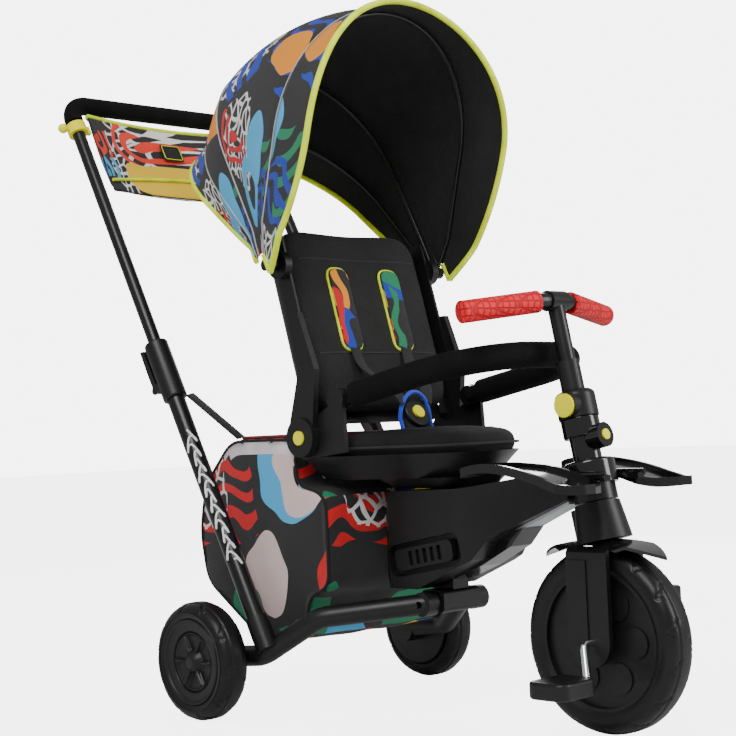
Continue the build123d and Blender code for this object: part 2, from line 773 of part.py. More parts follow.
def handle_pieces():
    add("lower_poles", *pair(lower_pole()))
    add("pole_clamps", *pair(pole_clamp()))
    on_both_sides("clamp_lever", clamp_lever)
    add("handle_tube", tube_along(handle_path(360), UPPER_POLE_R))
    add("handle_foam", handle_foam())
    add("pouch_clips", *pair(pouch_clip()))
    add("parent_pouch", pouch())


# ---------------------------------------------------------------- seat
SEAT_LOW = 337.5
SEAT_RIM = 372
SEAT_PLAN_FRONT = -227
SEAT_PLAN_REAR = 28
NOSE = 88                   # how far the rounded front of the seat reaches
SEAT_TAPER = 34             # the seat is this much narrower each side where its nose starts
SEAT_STRAIGHT = -30         # behind here the seat's sides are straight


def seat_outline(half, front, rear):
    """The seat's plan: sides that draw in towards a rounded nose."""
    side_front = front + NOSE
    narrow = half - SEAT_TAPER
    line = Line((half, rear), (half, SEAT_STRAIGHT))
    draw_in = Spline((half, SEAT_STRAIGHT), (narrow, side_front), tangents=((0, -1), (-0.1, -1)))
    nose = ThreePointArc((narrow, side_front), (0, front), (-narrow, side_front))
    sides = [line, draw_in]
    others = [mirror(edge, about=Plane.YZ) for edge in sides]
    back = Line((-half, rear), (half, rear))
    return make_face([*sides, nose, *others, back])


def seat_pan():
    """The bowl under the cushion."""
    low = Pos(0, 0, SEAT_LOW) * seat_outline(SEAT_HALF_WIDTH - 28, SEAT_PLAN_FRONT + 34, SEAT_PLAN_REAR - 22)
    high = Pos(0, 0, SEAT_RIM) * seat_outline(SEAT_HALF_WIDTH, SEAT_PLAN_FRONT, SEAT_PLAN_REAR)
    bowl = loft([low, high])
    inner_low = Pos(0, 0, SEAT_LOW + 4) * seat_outline(
        SEAT_HALF_WIDTH - 32, SEAT_PLAN_FRONT + 38, SEAT_PLAN_REAR - 26
    )
    inner_high = Pos(0, 0, SEAT_RIM + 1) * seat_outline(
        SEAT_HALF_WIDTH - 4, SEAT_PLAN_FRONT + 4, SEAT_PLAN_REAR - 4
    )
    return bowl - loft([inner_low, inner_high])


def seat_cushion():
    low = Pos(0, 0, SEAT_LOW + 5) * seat_outline(
        SEAT_HALF_WIDTH - 34, SEAT_PLAN_FRONT + 40, SEAT_PLAN_REAR - 28
    )
    high = Pos(0, 0, SEAT_RIM + 1) * seat_outline(
        SEAT_HALF_WIDTH - 6, SEAT_PLAN_FRONT + 6, SEAT_PLAN_REAR - 6
    )
    top = extrude(
        Pos(0, 0, SEAT_RIM + 1)
        * seat_outline(SEAT_HALF_WIDTH - 6, SEAT_PLAN_FRONT + 6, SEAT_PLAN_REAR - 6),
        amount=15,
    )
    return loft([low, high]) + top


BUMPER_PIVOT = (-51, 453)
BUMPER_X = 131
BUMPER_RISE = 10.3
BUMPER_FOAM_R = 18
BUMPER_CORE_R = 8
STRUT_IN, STRUT_OUT = 140, 147


def seat_strut():
    """A side plate of the seat: its rear disc holds the backrest, its top the bumper bar."""
    y, z = BACKREST_PIVOT
    by, bz = BUMPER_PIVOT
    plate = side_shape(
        [(y - 12, z + 26), (by - 14, bz + 4), (by - 16, bz - 20), (-70, 378), (y + 10, 368), (y + 26, z)],
        STRUT_IN,
        STRUT_OUT - GAP,
    )
    plate += rod_x(STRUT_IN, STRUT_OUT - GAP, y, z, 28)
    plate += rod_x(STRUT_IN, STRUT_OUT - GAP, by, bz, 17)
    plate -= rod_x(100, 200, by, bz, PIVOT_R)
    return plate - rod_x(100, 200, y, z, 6)


def hinge_pin():
    y, z = BACKREST_PIVOT
    return rod_x(STRUT_IN, STRUT_OUT + 5, y, z, 6)


def bumper_path(start):
    """The bumper bar's U, from this far in front of its pivots."""
    y, z = BUMPER_PIVOT
    slope = tan(radians(BUMPER_RISE))
    tip = 253
    points = [(-BUMPER_X, start), (-BUMPER_X, tip), (BUMPER_X, tip), (BUMPER_X, start)]
    return FilletPolyline(*[(x, y - d, z + d * slope) for x, d in points], radius=112)


def bumper_end():
    """The plastic knuckle that joins the bumper bar to its pivot pin."""
    y, z = BUMPER_PIVOT
    end = rod_x(STRUT_IN - 12, STRUT_IN - GAP, y, z, 15)
    slope = tan(radians(BUMPER_RISE))
    start = Vector(BUMPER_X, y - 6, z + 6 * slope)
    sleeve = extrude(Plane(origin=start, z_dir=Vector(0, -1, slope)) * Circle(13), amount=20)
    end += sleeve & block((0, STRUT_IN - GAP), (-400, 400), (0, 900))
    return end


def bumper_bar():
    """The steel core of the bumper bar with its two knuckles."""
    bar = tube_along(bumper_path(8), BUMPER_CORE_R)
    for end in pair(bumper_end()):
        bar += end
    y, z = BUMPER_PIVOT
    return bar - rod_x(-200, 200, y, z, PIVOT_R + RUNNING)


def bumper_pin():
    y, z = BUMPER_PIVOT
    return rod_x(STRUT_IN - 12, STRUT_OUT - GAP, y, z, PIVOT_R)


def bumper_foam():
    return tube_along(bumper_path(28), BUMPER_FOAM_R) - tube_along(bumper_path(8), BUMPER_CORE_R)


BUCKLE = (0, -70, 430)


def buckle_plane():
    return Plane(origin=BUCKLE, x_dir=(1, 0, 0), z_dir=(0, -0.87, 0.5))


def buckle():
    """The harness buckle, bored for its button."""
    body = Pos(0, 0, -6) * Cylinder(23, 14)
    body = fillet(body.edges().filter_by(GeomType.CIRCLE), 3)
    body -= Pos(0, 0, -0.5) * Cylinder(10.3, 8)
    return buckle_plane().location * body


def buckle_button():
    return buckle_plane().location * (Pos(0, 0, 1) * Cylinder(10, 5.6))


def crotch_pad():
    """The padded strap that rises from the cushion behind the buckle."""
    pad = Pos(0, -2, -20) * Box(56, 44, 12)
    pad = fillet(pad.edges().filter_by(Axis.Z), 16)
    return buckle_plane().location * pad


def seat_pieces():
    add("seat_pan", seat_pan() + seat_neck())
    add("seat_cushion", seat_cushion(), crotch_pad())
    add("seat_struts", *pair(seat_strut()))
    add("bumper_bar", bumper_bar())
    add("bumper_foam", bumper_foam())
    add("harness_buckle", buckle())
    add("buckle_button", buckle_button())


# ---------------------------------------------------------------- backrest
SHELL_HALF = 146.5
SHELL_BACK = 14
SHELL_FRONT = -42
PAD_FRONT = -32
SHELL_LOW, SHELL_HIGH = 22, 322


def on_backrest(solid):
    """Place a solid drawn on the backrest: Z up along it, Y behind it."""
    return backrest.location * solid


def shell_outline(inset):
    """The backrest's U-shaped section, filled, drawn this far inside its outer face."""
    half = SHELL_HALF - inset
    back = SHELL_BACK - inset
    outline = make_face(
        Polyline(
            (-half, SHELL_FRONT - 2 * inset),
            (half, SHELL_FRONT - 2 * inset),
            (half, back),
            (-half, back),
            close=True,
        )
    )
    return fillet(outline.vertices().group_by(Axis.Y)[-1], 34 - inset)


def backrest_shell():
    """A back panel with a wing at each side."""
    shell = Pos(0, 0, SHELL_LOW) * extrude(shell_outline(0), amount=SHELL_HIGH - SHELL_LOW)
    shell = fillet(shell.edges().filter_by(Axis.Y).group_by(Axis.Z)[-1], 45)
    shell -= extrude(shell_outline(4), amount=400)
    wing_cut = block((100, 200), (-60, 0), (0, 84))
    shell -= wing_cut + mirror(wing_cut, about=Plane.YZ)
    return on_backrest(shell)


def backrest_pad():
    """The padded lining of the backrest."""
    pad = Pos(0, 0, SHELL_LOW + 6) * extrude(shell_outline(5), amount=SHELL_HIGH - SHELL_LOW - 12)
    pad = fillet(pad.edges().filter_by(Axis.Y).group_by(Axis.Z)[-1], 41)
    return on_backrest(pad & block((-200, 200), (PAD_FRONT, 50), (0, 400)))


def backrest_arm():
    """The arm at the side of the backrest, from its hinge disc up the wing."""
    arm = side_shape(
        [(-27, 6), (-58, 84), (-50, 172), (-32, 176), (-24, 92), (20, 22)],
        STRUT_OUT,
        STRUT_OUT + 10,
    )
    arm += rod_x(STRUT_OUT, STRUT_OUT + 14, 0, 0, 28)
    arm -= rod_x(STRUT_OUT - 1, STRUT_OUT + 5.5, 0, 0, 6 + RUNNING)
    return on_backrest(arm - rod_x(STRUT_OUT + 5.5, 200, 0, 0, 10.3))


def hinge_button():
    """The button in the hinge disc, which frees the backrest."""
    return on_backrest(rod_x(STRUT_OUT + 9, STRUT_OUT + 17, 0, 0, 10))


def shoulder_pad():
    pad = block((34, 72), (-46, -33), (118, 246))
    return on_backrest(fillet(pad.edges().filter_by(Axis.Y), 15))


def webbing_between(a, b, width, thickness):
    """A flat strap between two points, its width along X."""
    along = Vector(*b) - Vector(*a)
    across = Vector(1, 0, 0) - along * (along.X / along.length ** 2)
    start = Plane(origin=a, x_dir=across, z_dir=along)
    return extrude(start * Rectangle(width, thickness), amount=along.length)


def harness_webbing():
    """The straps from the shoulder pads down to the buckle."""
    straps = []
    low = backrest.from_local_coords(Vector(53, -42, 117))
    for side in SIDES.values():
        straps.append(
            webbing_between(
                (low.X * side, low.Y - 2, low.Z - 1),
                (24 * side, BUCKLE[1] + 9, BUCKLE[2] + 22),
                20,
                2,
            )
        )
    return straps


def backrest_pieces():
    add("backrest_shell", backrest_shell())
    add("backrest_pad", backrest_pad())
    add("backrest_arms", *pair(backrest_arm()), *pair(canopy_hub()))
    on_both_sides("hinge_button", hinge_button)
    add("shoulder_pads", *pair(shoulder_pad()))
    add("harness_webbing", *harness_webbing())


# ---------------------------------------------------------------- canopy
HUB_PIN_R = 4
BOW_R = 3
EYE_R = 9
KNEE = 45
# bow: angle behind the vertical, distance of its eye from the middle, side, height
BOWS = {
    "rear": (42, 162.5, 165, 326),
    "middle": (26, 169, 171, 364),
    "front": (-15, 175.5, 188, 379),
}
# fabric edges: angle, half-width at the pivot and at the side, height
EDGES = {
    "visor": (-15.3, 187, 197, 388),
    "front": (-15, 187, 197, 388),
    "middle": (26, 187, 180, 373),
    "rear": (42, 187, 174, 335),
    "flap": (52, 187, 160, 352),
}


def canopy_plane(angle):
    """The plane of a bow: X across, Y out from the pivot."""
    lean = radians(angle)
    return Plane(
        origin=(0, *CANOPY_PIVOT), x_dir=(1, 0, 0), z_dir=(0, cos(lean), -sin(lean))
    )


def arch_lines(base, side, height, low):
    """Two straight sides and a half-round top, in a bow's plane."""
    shoulder = height - side
    knee = low + KNEE
    return [
        Line((base, low), (side, knee)),
        Line((side, knee), (side, shoulder)),
        ThreePointArc((side, shoulder), (0, height), (-side, shoulder)),
        Line((-side, shoulder), (-side, knee)),
        Line((-side, knee), (-base, low)),
    ]


def arch_path(base, side, height, low):
    """The same arch for a bent rod, with a gentle bend at each knee."""
    shoulder = height - side
    knee = low + KNEE
    up = Line((side, knee), (side, shoulder))
    if side != base:
        up = FilletPolyline((base, low), (side, knee), (side, shoulder), radius=60)
    top = ThreePointArc((side, shoulder), (0, height), (-side, shoulder))
    return Wire(up.edges() + top.edges() + mirror(up, about=Plane.YZ).edges())


def arch_face(edge, inset, low):
    """The filled arch of a fabric edge, drawn this far inside it."""
    angle, base, side, height = EDGES[edge]
    lines = arch_lines(base - inset, side - inset, height - inset, low)
    lines.append(Line((-(base - inset), low), (base - inset, low)))
    return canopy_plane(angle).location * mirror(make_face(lines), about=Plane.XZ)


def panel(first, second):
    """A fabric panel between two arches, open below and at its ends."""
    outer = loft([arch_face(first, 0, 16), arch_face(second, 0, 16)], ruled=True)
    inner = loft([arch_face(first, FABRIC, 12), arch_face(second, FABRIC, 12)], ruled=True)
    return outer - inner


def canopy_visor():
    """The visor in front of the front bow, its rim curved forward in the side view."""
    y0, z0 = CANOPY_PIVOT
    near = arch_face("visor", 0, 16)
    near_in = arch_face("visor", FABRIC, 12)
    ahead = (0, -130, 34)
    far = Pos(*ahead) * near
    far_in = Pos(*ahead) * near_in
    body = loft([near, far], ruled=True) - loft([near_in, far_in], ruled=True)
    rim = Plane.YZ * make_face(
        [
            Line((y0 + 60, z0 - 30), (26, 638)),
            ThreePointArc((26, 638), (-62, 838), (-74, 1028)),
            Line((-74, 1028), (-74, 1100)),
            Line((-74, 1100), (y0 + 60, 1100)),
            Line((y0 + 60, 1100), (y0 + 60, z0 - 30)),
        ]
    )
    return body & extrude(rim, amount=400, dir=(1, 0, 0), both=True)


def bow(name):
    """A bent rod with a flat eye at each end."""
    angle, base, side, height = BOWS[name]
    flat = arch_path(base, side, height, EYE_R - 1)
    rod = tube_along(canopy_plane(angle).location * mirror(flat, about=Plane.XZ), BOW_R)
    y, z = CANOPY_PIVOT
    for s in SIDES.values():
        rod += rod_x((base - 2.5) * s, (base + 2.5) * s, y, z, EYE_R)
        rod -= rod_x((base - 6) * s, (base + 6) * s, y, z, HUB_PIN_R + RUNNING)
    return rod


def canopy_hub():
    """The hub on the backrest's wing, with the pin that carries the bows."""
    y, z = CANOPY_PIVOT
    hub = rod_x(SHELL_HALF, 159, y, z, 20)
    hub += rod_x(SHELL_HALF, 181, y, z, HUB_PIN_R)
    return hub + rod_x(179, 182, y, z, EYE_R)


def canopy_pieces():
    for name in BOWS:
        add(f"canopy_bow_{name}", bow(name))
    add("canopy_visor", canopy_visor())
    add("canopy_front_panel", panel("front", "middle"))
    add("canopy_rear_panel", panel("middle", "rear") + panel("rear", "flap"))


# ---------------------------------------------------------------- storage bag
BAG_HALF = 144
BAG_SIDE = [
    (30, 112),
    (24, 170),
    (-24, 184),
    (-24, 322),
    (40, 336),
    (40, 402),
    (190, 402),
    (256, 335),
    (272, 262),
    (258, 186),
    (140, 106),
]
BAG_MOUTH = (52, 178)


def storage_bag():
    """A fabric bag behind and below the seat, open at the top."""
    outer = side_shape(BAG_SIDE, -BAG_HALF, BAG_HALF, 14)
    profile = fillet(make_face(Polyline(*BAG_SIDE, close=True)).vertices(), 14)
    inner = Plane.YZ * offset(profile, amount=-FABRIC)
    half = BAG_HALF - FABRIC
    inner = extrude(inner, amount=half, dir=(1, 0, 0), both=True)
    mouth = block((-half + 8, half - 8), BAG_MOUTH, (395, 410))
    return outer - inner - mouth


def bag_strap():
    """The strap from a pole clamp down to the bag's rear corner."""
    top = poles.from_local_coords(Vector(164, 0, 404))
    return webbing_between(top, (134, 172, 403.5), 18, 2)


def bag_pieces():
    add("storage_bag", storage_bag(), *pair(bag_strap()))


# ---------------------------------------------------------------- write the parts
def main():
    rear_wheel_pieces()
    frame_pieces()
    footrest_pieces()
    steering_pieces()
    front_wheel_pieces()
    handle_pieces()
    seat_pieces()
    backrest_pieces()
    canopy_pieces()
    bag_pieces()
    os.makedirs("parts", exist_ok=True)
    for node, shape in parts.items():
        export_step(shape, f"parts/{node}.step")
    print(len(parts), "nodes")


main()
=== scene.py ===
"""A child's tricycle: the looks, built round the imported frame. Metres, +Z up, the child faces -Y."""
import json
from math import cos, exp, hypot, pi, radians, sin, sqrt

import bmesh
import bpy
from mathutils import Matrix, Vector


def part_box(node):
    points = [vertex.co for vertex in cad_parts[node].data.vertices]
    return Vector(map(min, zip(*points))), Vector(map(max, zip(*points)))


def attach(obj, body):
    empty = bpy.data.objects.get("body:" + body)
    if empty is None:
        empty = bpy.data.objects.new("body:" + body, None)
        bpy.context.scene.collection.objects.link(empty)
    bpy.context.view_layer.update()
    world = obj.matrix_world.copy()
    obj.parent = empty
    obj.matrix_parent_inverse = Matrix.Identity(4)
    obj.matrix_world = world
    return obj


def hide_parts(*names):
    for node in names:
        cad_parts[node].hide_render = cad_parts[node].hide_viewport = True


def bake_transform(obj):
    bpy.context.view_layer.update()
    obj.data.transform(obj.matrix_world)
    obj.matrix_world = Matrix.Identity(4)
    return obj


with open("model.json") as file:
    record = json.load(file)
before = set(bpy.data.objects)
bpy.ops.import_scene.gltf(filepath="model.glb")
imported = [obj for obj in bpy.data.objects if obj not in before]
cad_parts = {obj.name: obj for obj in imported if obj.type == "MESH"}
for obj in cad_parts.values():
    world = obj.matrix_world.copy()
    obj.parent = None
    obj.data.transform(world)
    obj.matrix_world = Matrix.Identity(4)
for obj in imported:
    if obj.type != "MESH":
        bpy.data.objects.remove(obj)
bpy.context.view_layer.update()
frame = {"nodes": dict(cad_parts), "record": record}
nodes = frame["nodes"]

# ------------------------------------------------------------------ measures of the model
SIDES = {"right": -1, "left": 1}
POLE_X = 0.193
PIVOT_Y, PIVOT_Z = 0.045, 0.650          # the canopy's bows turn here
BACKREST_Y, BACKREST_Z = 0.010, 0.400


def leaning(origin, degrees_back):
    """From a leaning part's own (across, behind, along) to the scene."""
    return Matrix.Translation(origin) @ Matrix.Rotation(-radians(degrees_back), 4, "X")


POLES = leaning((0, 0.067, 0.116), 27.7)
BACKREST = leaning((0, BACKREST_Y, BACKREST_Z), 15.5)


# ------------------------------------------------------------------ camera, lights and floor
def camera():
    """The photograph's point of view, from in front and to the child's right."""
    right = Vector((0.71943, -0.69319, -0.04373))
    up = Vector((0.00654, -0.05619, 0.99840))
    ahead = Vector((0.69454, 0.71856, 0.03589))
    data = bpy.data.cameras.new("camera")
    data.lens = 79.6
    data.sensor_width = 36
    data.clip_start = 0.05
    data.clip_end = 50
    eye = bpy.data.objects.new("camera", data)
    turn = Matrix((right, up, -ahead)).transposed().to_4x4()
    eye.matrix_world = Matrix.Translation((-1.6942, -1.7228, 0.4123)) @ turn
    bpy.context.scene.collection.objects.link(eye)
    bpy.context.scene.camera = eye


def area_light(name, place, aim, size, power):
    """A soft rectangular lamp, turned to its aim."""
    data = bpy.data.lights.new(name, "AREA")
    data.shape = "RECTANGLE"
    data.size, data.size_y = size
    data.energy = power
    lamp = bpy.data.objects.new(name, data)
    lamp.location = place
    lamp.rotation_euler = (Vector(aim) - Vector(place)).to_track_quat("-Z", "Y").to_euler()
    bpy.context.scene.collection.objects.link(lamp)


WORLD_LIGHT, WORLD_SEEN, FLOOR_GLOW = 0.45, 6.0, 4.5


def studio():
    """A pale floor, a pale world and three soft lamps."""
    world = bpy.data.worlds.new("studio")
    world.use_nodes = True
    background = world.node_tree.nodes["Background"]
    background.inputs["Color"].default_value = (1, 1, 1, 1)
    seen = world.node_tree.nodes.new("ShaderNodeLightPath").outputs["Is Camera Ray"]
    strength = world.node_tree.nodes.new("ShaderNodeMapRange")
    strength.inputs["To Min"].default_value = WORLD_LIGHT
    strength.inputs["To Max"].default_value = WORLD_SEEN
    world.node_tree.links.new(seen, strength.inputs["Value"])
    world.node_tree.links.new(strength.outputs["Result"], background.inputs["Strength"])
    bpy.context.scene.world = world
    area_light("key", (-2.0, -1.2, 2.6), (0, 0, 0.5), (1.6, 1.6), 75)
    area_light("fill", (1.2, -2.4, 1.4), (0, 0, 0.4), (0.9, 1.8), 42)
    area_light("rim", (2.2, 1.8, 1.6), (0, 0, 0.5), (0.8, 1.8), 36)
    bpy.ops.mesh.primitive_plane_add(size=30)
    floor = bpy.context.object
    floor.name = "floor"
    return floor


# ------------------------------------------------------------------ materials
class Nodes:
    """Short calls for building the nodes of one material."""

    def __init__(self, name, color=(0, 0, 0), roughness=0.5, **uniform):
        self.material = bpy.data.materials.new(name)
        self.material.use_nodes = True
        self.tree = self.material.node_tree
        self.shader = self.tree.nodes["Principled BSDF"]
        self.shader.inputs["Base Color"].default_value = (*color, 1)
        self.shader.inputs["Roughness"].default_value = roughness
        for socket, value in uniform.items():
            self.shader.inputs[socket.replace("_", " ")].default_value = value

    def add(self, kind, inputs=(), **settings):
        """A node with these settings; inputs are (socket, value or output) pairs."""
        made = self.tree.nodes.new("ShaderNode" + kind)
        for key, value in settings.items():
            setattr(made, key, value)
        for socket, value in inputs:
            self.put(made.inputs[socket], value)
        return made

    def put(self, socket, value):
        if isinstance(value, bpy.types.NodeSocket):
            self.tree.links.new(value, socket)
        else:
            socket.default_value = value

    def math(self, operation, *values):
        made = self.add("Math", operation=operation)
        for socket, value in zip(made.inputs, values):
            self.put(socket, value)
        return made.outputs[0]

    def vector(self, operation, *values):
        made = self.add("VectorMath", operation=operation)
        for socket, value in zip(made.inputs, values):
            self.put(socket, value)
        return made.outputs["Value" if operation == "LENGTH" else "Vector"]

    def mix(self, share, first, second):
        made = self.add("Mix", data_type="RGBA")
        self.put(made.inputs["Factor"], share)
        self.put(made.inputs["A"], first)
        self.put(made.inputs["B"], second)
        return made.outputs["Result"]

    def noise(self, place, scale, detail=2.0):
        return self.add(
            "TexNoise", [("Vector", place), ("Scale", scale), ("Detail", detail)]
        ).outputs["Fac"]

    def object_place(self):
        return self.add("TexCoord").outputs["Object"]

    def span(self, value, low, high, to_low, to_high):
        """A value carried from one range to another."""
        made = self.add("MapRange", [("Value", value), ("From Min", low), ("From Max", high)])
        made.inputs["To Min"].default_value = to_low
        made.inputs["To Max"].default_value = to_high
        return made.outputs["Result"]

    def bump(self, height, distance, strength=1.0):
        made = self.add(
            "Bump", [("Height", height), ("Distance", distance), ("Strength", strength)]
        )
        self.put(self.shader.inputs["Normal"], made.outputs["Normal"])


def moulded(name, color, roughness, grain=0.00012, grain_scale=900, **uniform):
    """Moulded plastic or paint: fine grain, and roughness and colour that vary a little."""
    n = Nodes(name, color, roughness, **uniform)
    place = n.object_place()
    smudge = n.noise(place, 9, 4)
    n.put(n.shader.inputs["Roughness"], n.span(smudge, 0.3, 0.7, roughness * 0.85, roughness * 1.15))
    lighter = tuple(min(1, c * 1.25 + 0.002) for c in color)
    n.put(n.shader.inputs["Base Color"], n.mix(n.span(smudge, 0.35, 0.75, 0, 1), (*color, 1), (*lighter, 1)))
    n.bump(n.noise(place, grain_scale, 3), grain)
    return n.material


def brushed(name, color, roughness):
    """Bare or plated metal with fine streaks."""
    n = Nodes(name, color, roughness, Metallic=1.0)
    place = n.object_place()
    streaks = n.noise(n.vector("MULTIPLY", place, (1, 12, 12)), 160, 2)
    n.put(n.shader.inputs["Roughness"], n.span(streaks, 0.3, 0.7, roughness * 0.7, roughness * 1.3))
    n.bump(streaks, 0.00002)
    return n.material


def foam(name):
    """Closed-cell foam: small pits all over."""
    n = Nodes(name, (0.004, 0.004, 0.0045), 0.9, Specular_IOR_Level=0.15)
    place = n.object_place()
    cells = n.add("TexVoronoi", [("Vector", place), ("Scale", 620)]).outputs["Distance"]
    patches = n.noise(place, 30, 3)
    n.put(n.shader.inputs["Roughness"], n.span(patches, 0.3, 0.7, 0.8, 0.98))
    n.bump(cells, 0.0005, 0.8)
    return n.material


def weave(n, place, pitch):
    """The height of a plain weave with this thread pitch."""
    turns = 2 * pi / pitch
    split = n.add("SeparateXYZ", [("Vector", place)]).outputs
    warp = n.math("SINE", n.math("MULTIPLY", split["X"], turns))
    weft = n.math("SINE", n.math("MULTIPLY", split["Y"], turns))
    return n.math("MULTIPLY", warp, weft)


def plain_fabric(name, color, pitch=0.0022, sheen=0.18, roughness=0.88):
    """Woven polyester of one colour, a little uneven. Its weave follows the object's axes."""
    n = Nodes(name, color, roughness, Sheen_Weight=sheen, Sheen_Roughness=0.5)
    place = n.object_place()
    turned = n.add("VectorRotate", [("Vector", place), ("Axis", (1, 1, 0.4)), ("Angle", 0.8)])
    tone = n.noise(place, 26, 4)
    lighter = tuple(c * 1.6 + 0.004 for c in color)
    n.put(n.shader.inputs["Base Color"], n.mix(n.span(tone, 0.3, 0.8, 0, 1), (*color, 1), (*lighter, 1)))
    thread = weave(n, turned.outputs["Vector"], pitch)
    creases = n.math("MULTIPLY", n.noise(place, 18, 3), 5.0)
    n.bump(n.math("ADD", thread, creases), 0.0004, 0.8)
    return n.material


RED = (0.70, 0.0, 0.004, 1)
CORAL = (0.90, 0.035, 0.012, 1)
ORANGE = (0.95, 0.32, 0.0, 1)
YELLOW = (0.95, 0.60, 0.02, 1)
GREEN = (0.0, 0.24, 0.10, 1)
SKY = (0.06, 0.47, 0.85, 1)
ROYAL = (0.0, 0.04, 0.45, 1)
WHITE = (0.86, 0.84, 0.82, 1)
PINK = (0.80, 0.62, 0.60, 1)
INK = (0.008, 0.008, 0.010, 1)
PRINT_COLOURS = [RED, GREEN, SKY, YELLOW, CORAL, ORANGE, ROYAL, RED, GREEN, PINK, YELLOW, SKY]


def colour_of(n, chance):
    """One of the print's colours, by a number from 0 to 1."""
    ramp = n.add("ValToRGB", [("Fac", chance)])
    ramp.color_ramp.interpolation = "CONSTANT"
    stops = ramp.color_ramp.elements
    stops[0].color = PRINT_COLOURS[0]
    stops.remove(stops[1])
    for k, colour in enumerate(PRINT_COLOURS[1:], 1):
        stops.new(k / len(PRINT_COLOURS)).color = colour
    return ramp.outputs["Color"]


def shapes_layer(n, place, scale, shift):
    """One shape to a cell, each with its own turn: returns where the shapes are, and their colour."""
    size = 0.53 / scale
    moved = n.vector("ADD", place, (shift, shift * 0.7, 0))
    cell = n.add(
        "TexVoronoi", [("Vector", moved), ("Scale", scale), ("Randomness", 0.75)],
        voronoi_dimensions="2D",
    ).outputs
    chance = n.add("SeparateColor", [("Color", cell["Color"])]).outputs
    around = n.vector("SUBTRACT", moved, cell["Position"])
    turned = n.add("VectorRotate", rotation_type="Z_AXIS")
    n.put(turned.inputs["Vector"], around)
    n.put(turned.inputs["Angle"], n.math("MULTIPLY", chance["Blue"], 6.3))
    part = n.add("SeparateXYZ", [("Vector", turned.outputs["Vector"])]).outputs
    x, y = part["X"], part["Y"]
    out = n.vector("LENGTH", around)
    below = lambda value, limit: n.math("LESS_THAN", value, limit)
    above = lambda value, limit: n.math("GREATER_THAN", value, limit)
    both = lambda a, b: n.math("MULTIPLY", a, b)
    stripes = lambda value, pitch: n.math("SINE", n.math("MULTIPLY", value, 2 * pi / pitch))
    wide = n.math("ABSOLUTE", x)
    tall = n.math("ABSOLUTE", y)
    wave = n.math("ADD", y, n.math("MULTIPLY", stripes(x, size * 0.9), size * 0.09))
    blob = below(n.vector("LENGTH", n.vector("MULTIPLY", turned.outputs["Vector"], (1, 1.5, 1))), size * 0.82)
    ring = both(below(out, size * 0.78), above(out, size * 0.34))
    arcs = both(above(stripes(out, size * 0.34), 0), both(below(out, size * 0.95), above(y, -size * 0.15)))
    in_waves = both(below(wide, size * 0.85), below(tall, size * 0.6))
    waves = both(above(stripes(wave, size * 0.36), 0.1), in_waves)
    palm = both(below(wide, size * 0.66), both(above(y, -size * 0.75), below(y, -size * 0.2)))
    fingers = both(above(n.math("COSINE", n.math("MULTIPLY", x, 2 * pi / (size * 0.5))), -0.2),
                   both(below(wide, size * 0.66), both(above(y, -size * 0.3), below(y, size * 0.75))))
    pebble = n.add("TexVoronoi", [("Vector", moved), ("Scale", 48.0)], feature="DISTANCE_TO_EDGE",
                   voronoi_dimensions="2D").outputs["Distance"]
    net = both(below(pebble, 0.13), below(out, size * 0.8))
    kinds = [blob, ring, n.math("MAXIMUM", palm, fingers), arcs, blob, waves, ring, blob, net]
    where = 0.0
    for k, kind in enumerate(kinds):
        chosen = both(above(chance["Red"], k / len(kinds)), below(chance["Red"], (k + 1) / len(kinds)))
        where = n.math("ADD", where, both(chosen, kind))
    pale = above(chance["Red"], (len(kinds) - 1) / len(kinds))
    return where, n.mix(pale, colour_of(n, chance["Green"]), WHITE)


def print_fabric(name, shift):
    """Black woven fabric with a generic print of blobs, rings, waves and pebbles, laid out by its UVs."""
    n = Nodes(name, INK[:3], 0.72, Sheen_Weight=0.1, Sheen_Roughness=0.5)
    flat = n.add("UVMap", uv_map="cloth").outputs["UV"]
    drift = n.add("TexNoise", [("Vector", flat), ("Scale", 16.0), ("Detail", 0.5)]).outputs["Color"]
    drift = n.vector("MULTIPLY", n.vector("SUBTRACT", drift, (0.5, 0.5, 0.5)), (0.045, 0.045, 0))
    place = n.vector("ADD", n.vector("ADD", flat, drift), (shift, shift, 0))
    colour = INK
    for scale, offset in ((5.4, 0.31), (7.2, 1.77)):
        where, paint = shapes_layer(n, place, scale, offset)
        colour = n.mix(where, colour, paint)
    fade = n.span(n.noise(flat, 7, 3), 0.3, 0.7, 0.86, 1.0)
    shade = n.add("HueSaturation", [("Color", colour), ("Value", fade)])
    n.put(n.shader.inputs["Base Color"], shade.outputs["Color"])
    thread = weave(n, flat, 0.0016)
    creases = n.math("MULTIPLY", n.noise(flat, 14, 3), 4.0)
    n.bump(n.math("ADD", thread, creases), 0.0003, 0.7)
    return n.material


def backdrop(name):
    """The floor: white to the camera, with the shadows still on it."""
    n = Nodes(name, (0.8, 0.8, 0.8), 0.8, Specular_IOR_Level=0.1)
    seen = n.add("LightPath").outputs["Is Camera Ray"]
    n.shader.inputs["Emission Color"].default_value = (1, 1, 1, 1)
    n.put(n.shader.inputs["Emission Strength"], n.math("MULTIPLY", seen, FLOOR_GLOW))
    return n.material


def textured_rubber(name, color):
    """Soft rubber with a raised net of cells, and painted shade that darkens the grooves between the cells.
    """
    n = Nodes(name, color, 0.55, Specular_IOR_Level=0.3)
    place = n.object_place()
    cells = n.add("TexVoronoi", [("Vector", place), ("Scale", 105), ("Randomness", 0.15)],
                  feature="DISTANCE_TO_EDGE").outputs["Distance"]
    ridge = n.span(cells, 0.03, 0.16, 0.0, 1.0)
    # painted shade: the low grooves between the cells are coloured darker than the rubber
    painted_groove_shade = tuple(c * 0.55 for c in color)
    n.put(n.shader.inputs["Base Color"], n.mix(ridge, (*painted_groove_shade, 1), (*color, 1)))
    n.bump(ridge, 0.0012, 0.9)
    return n.material


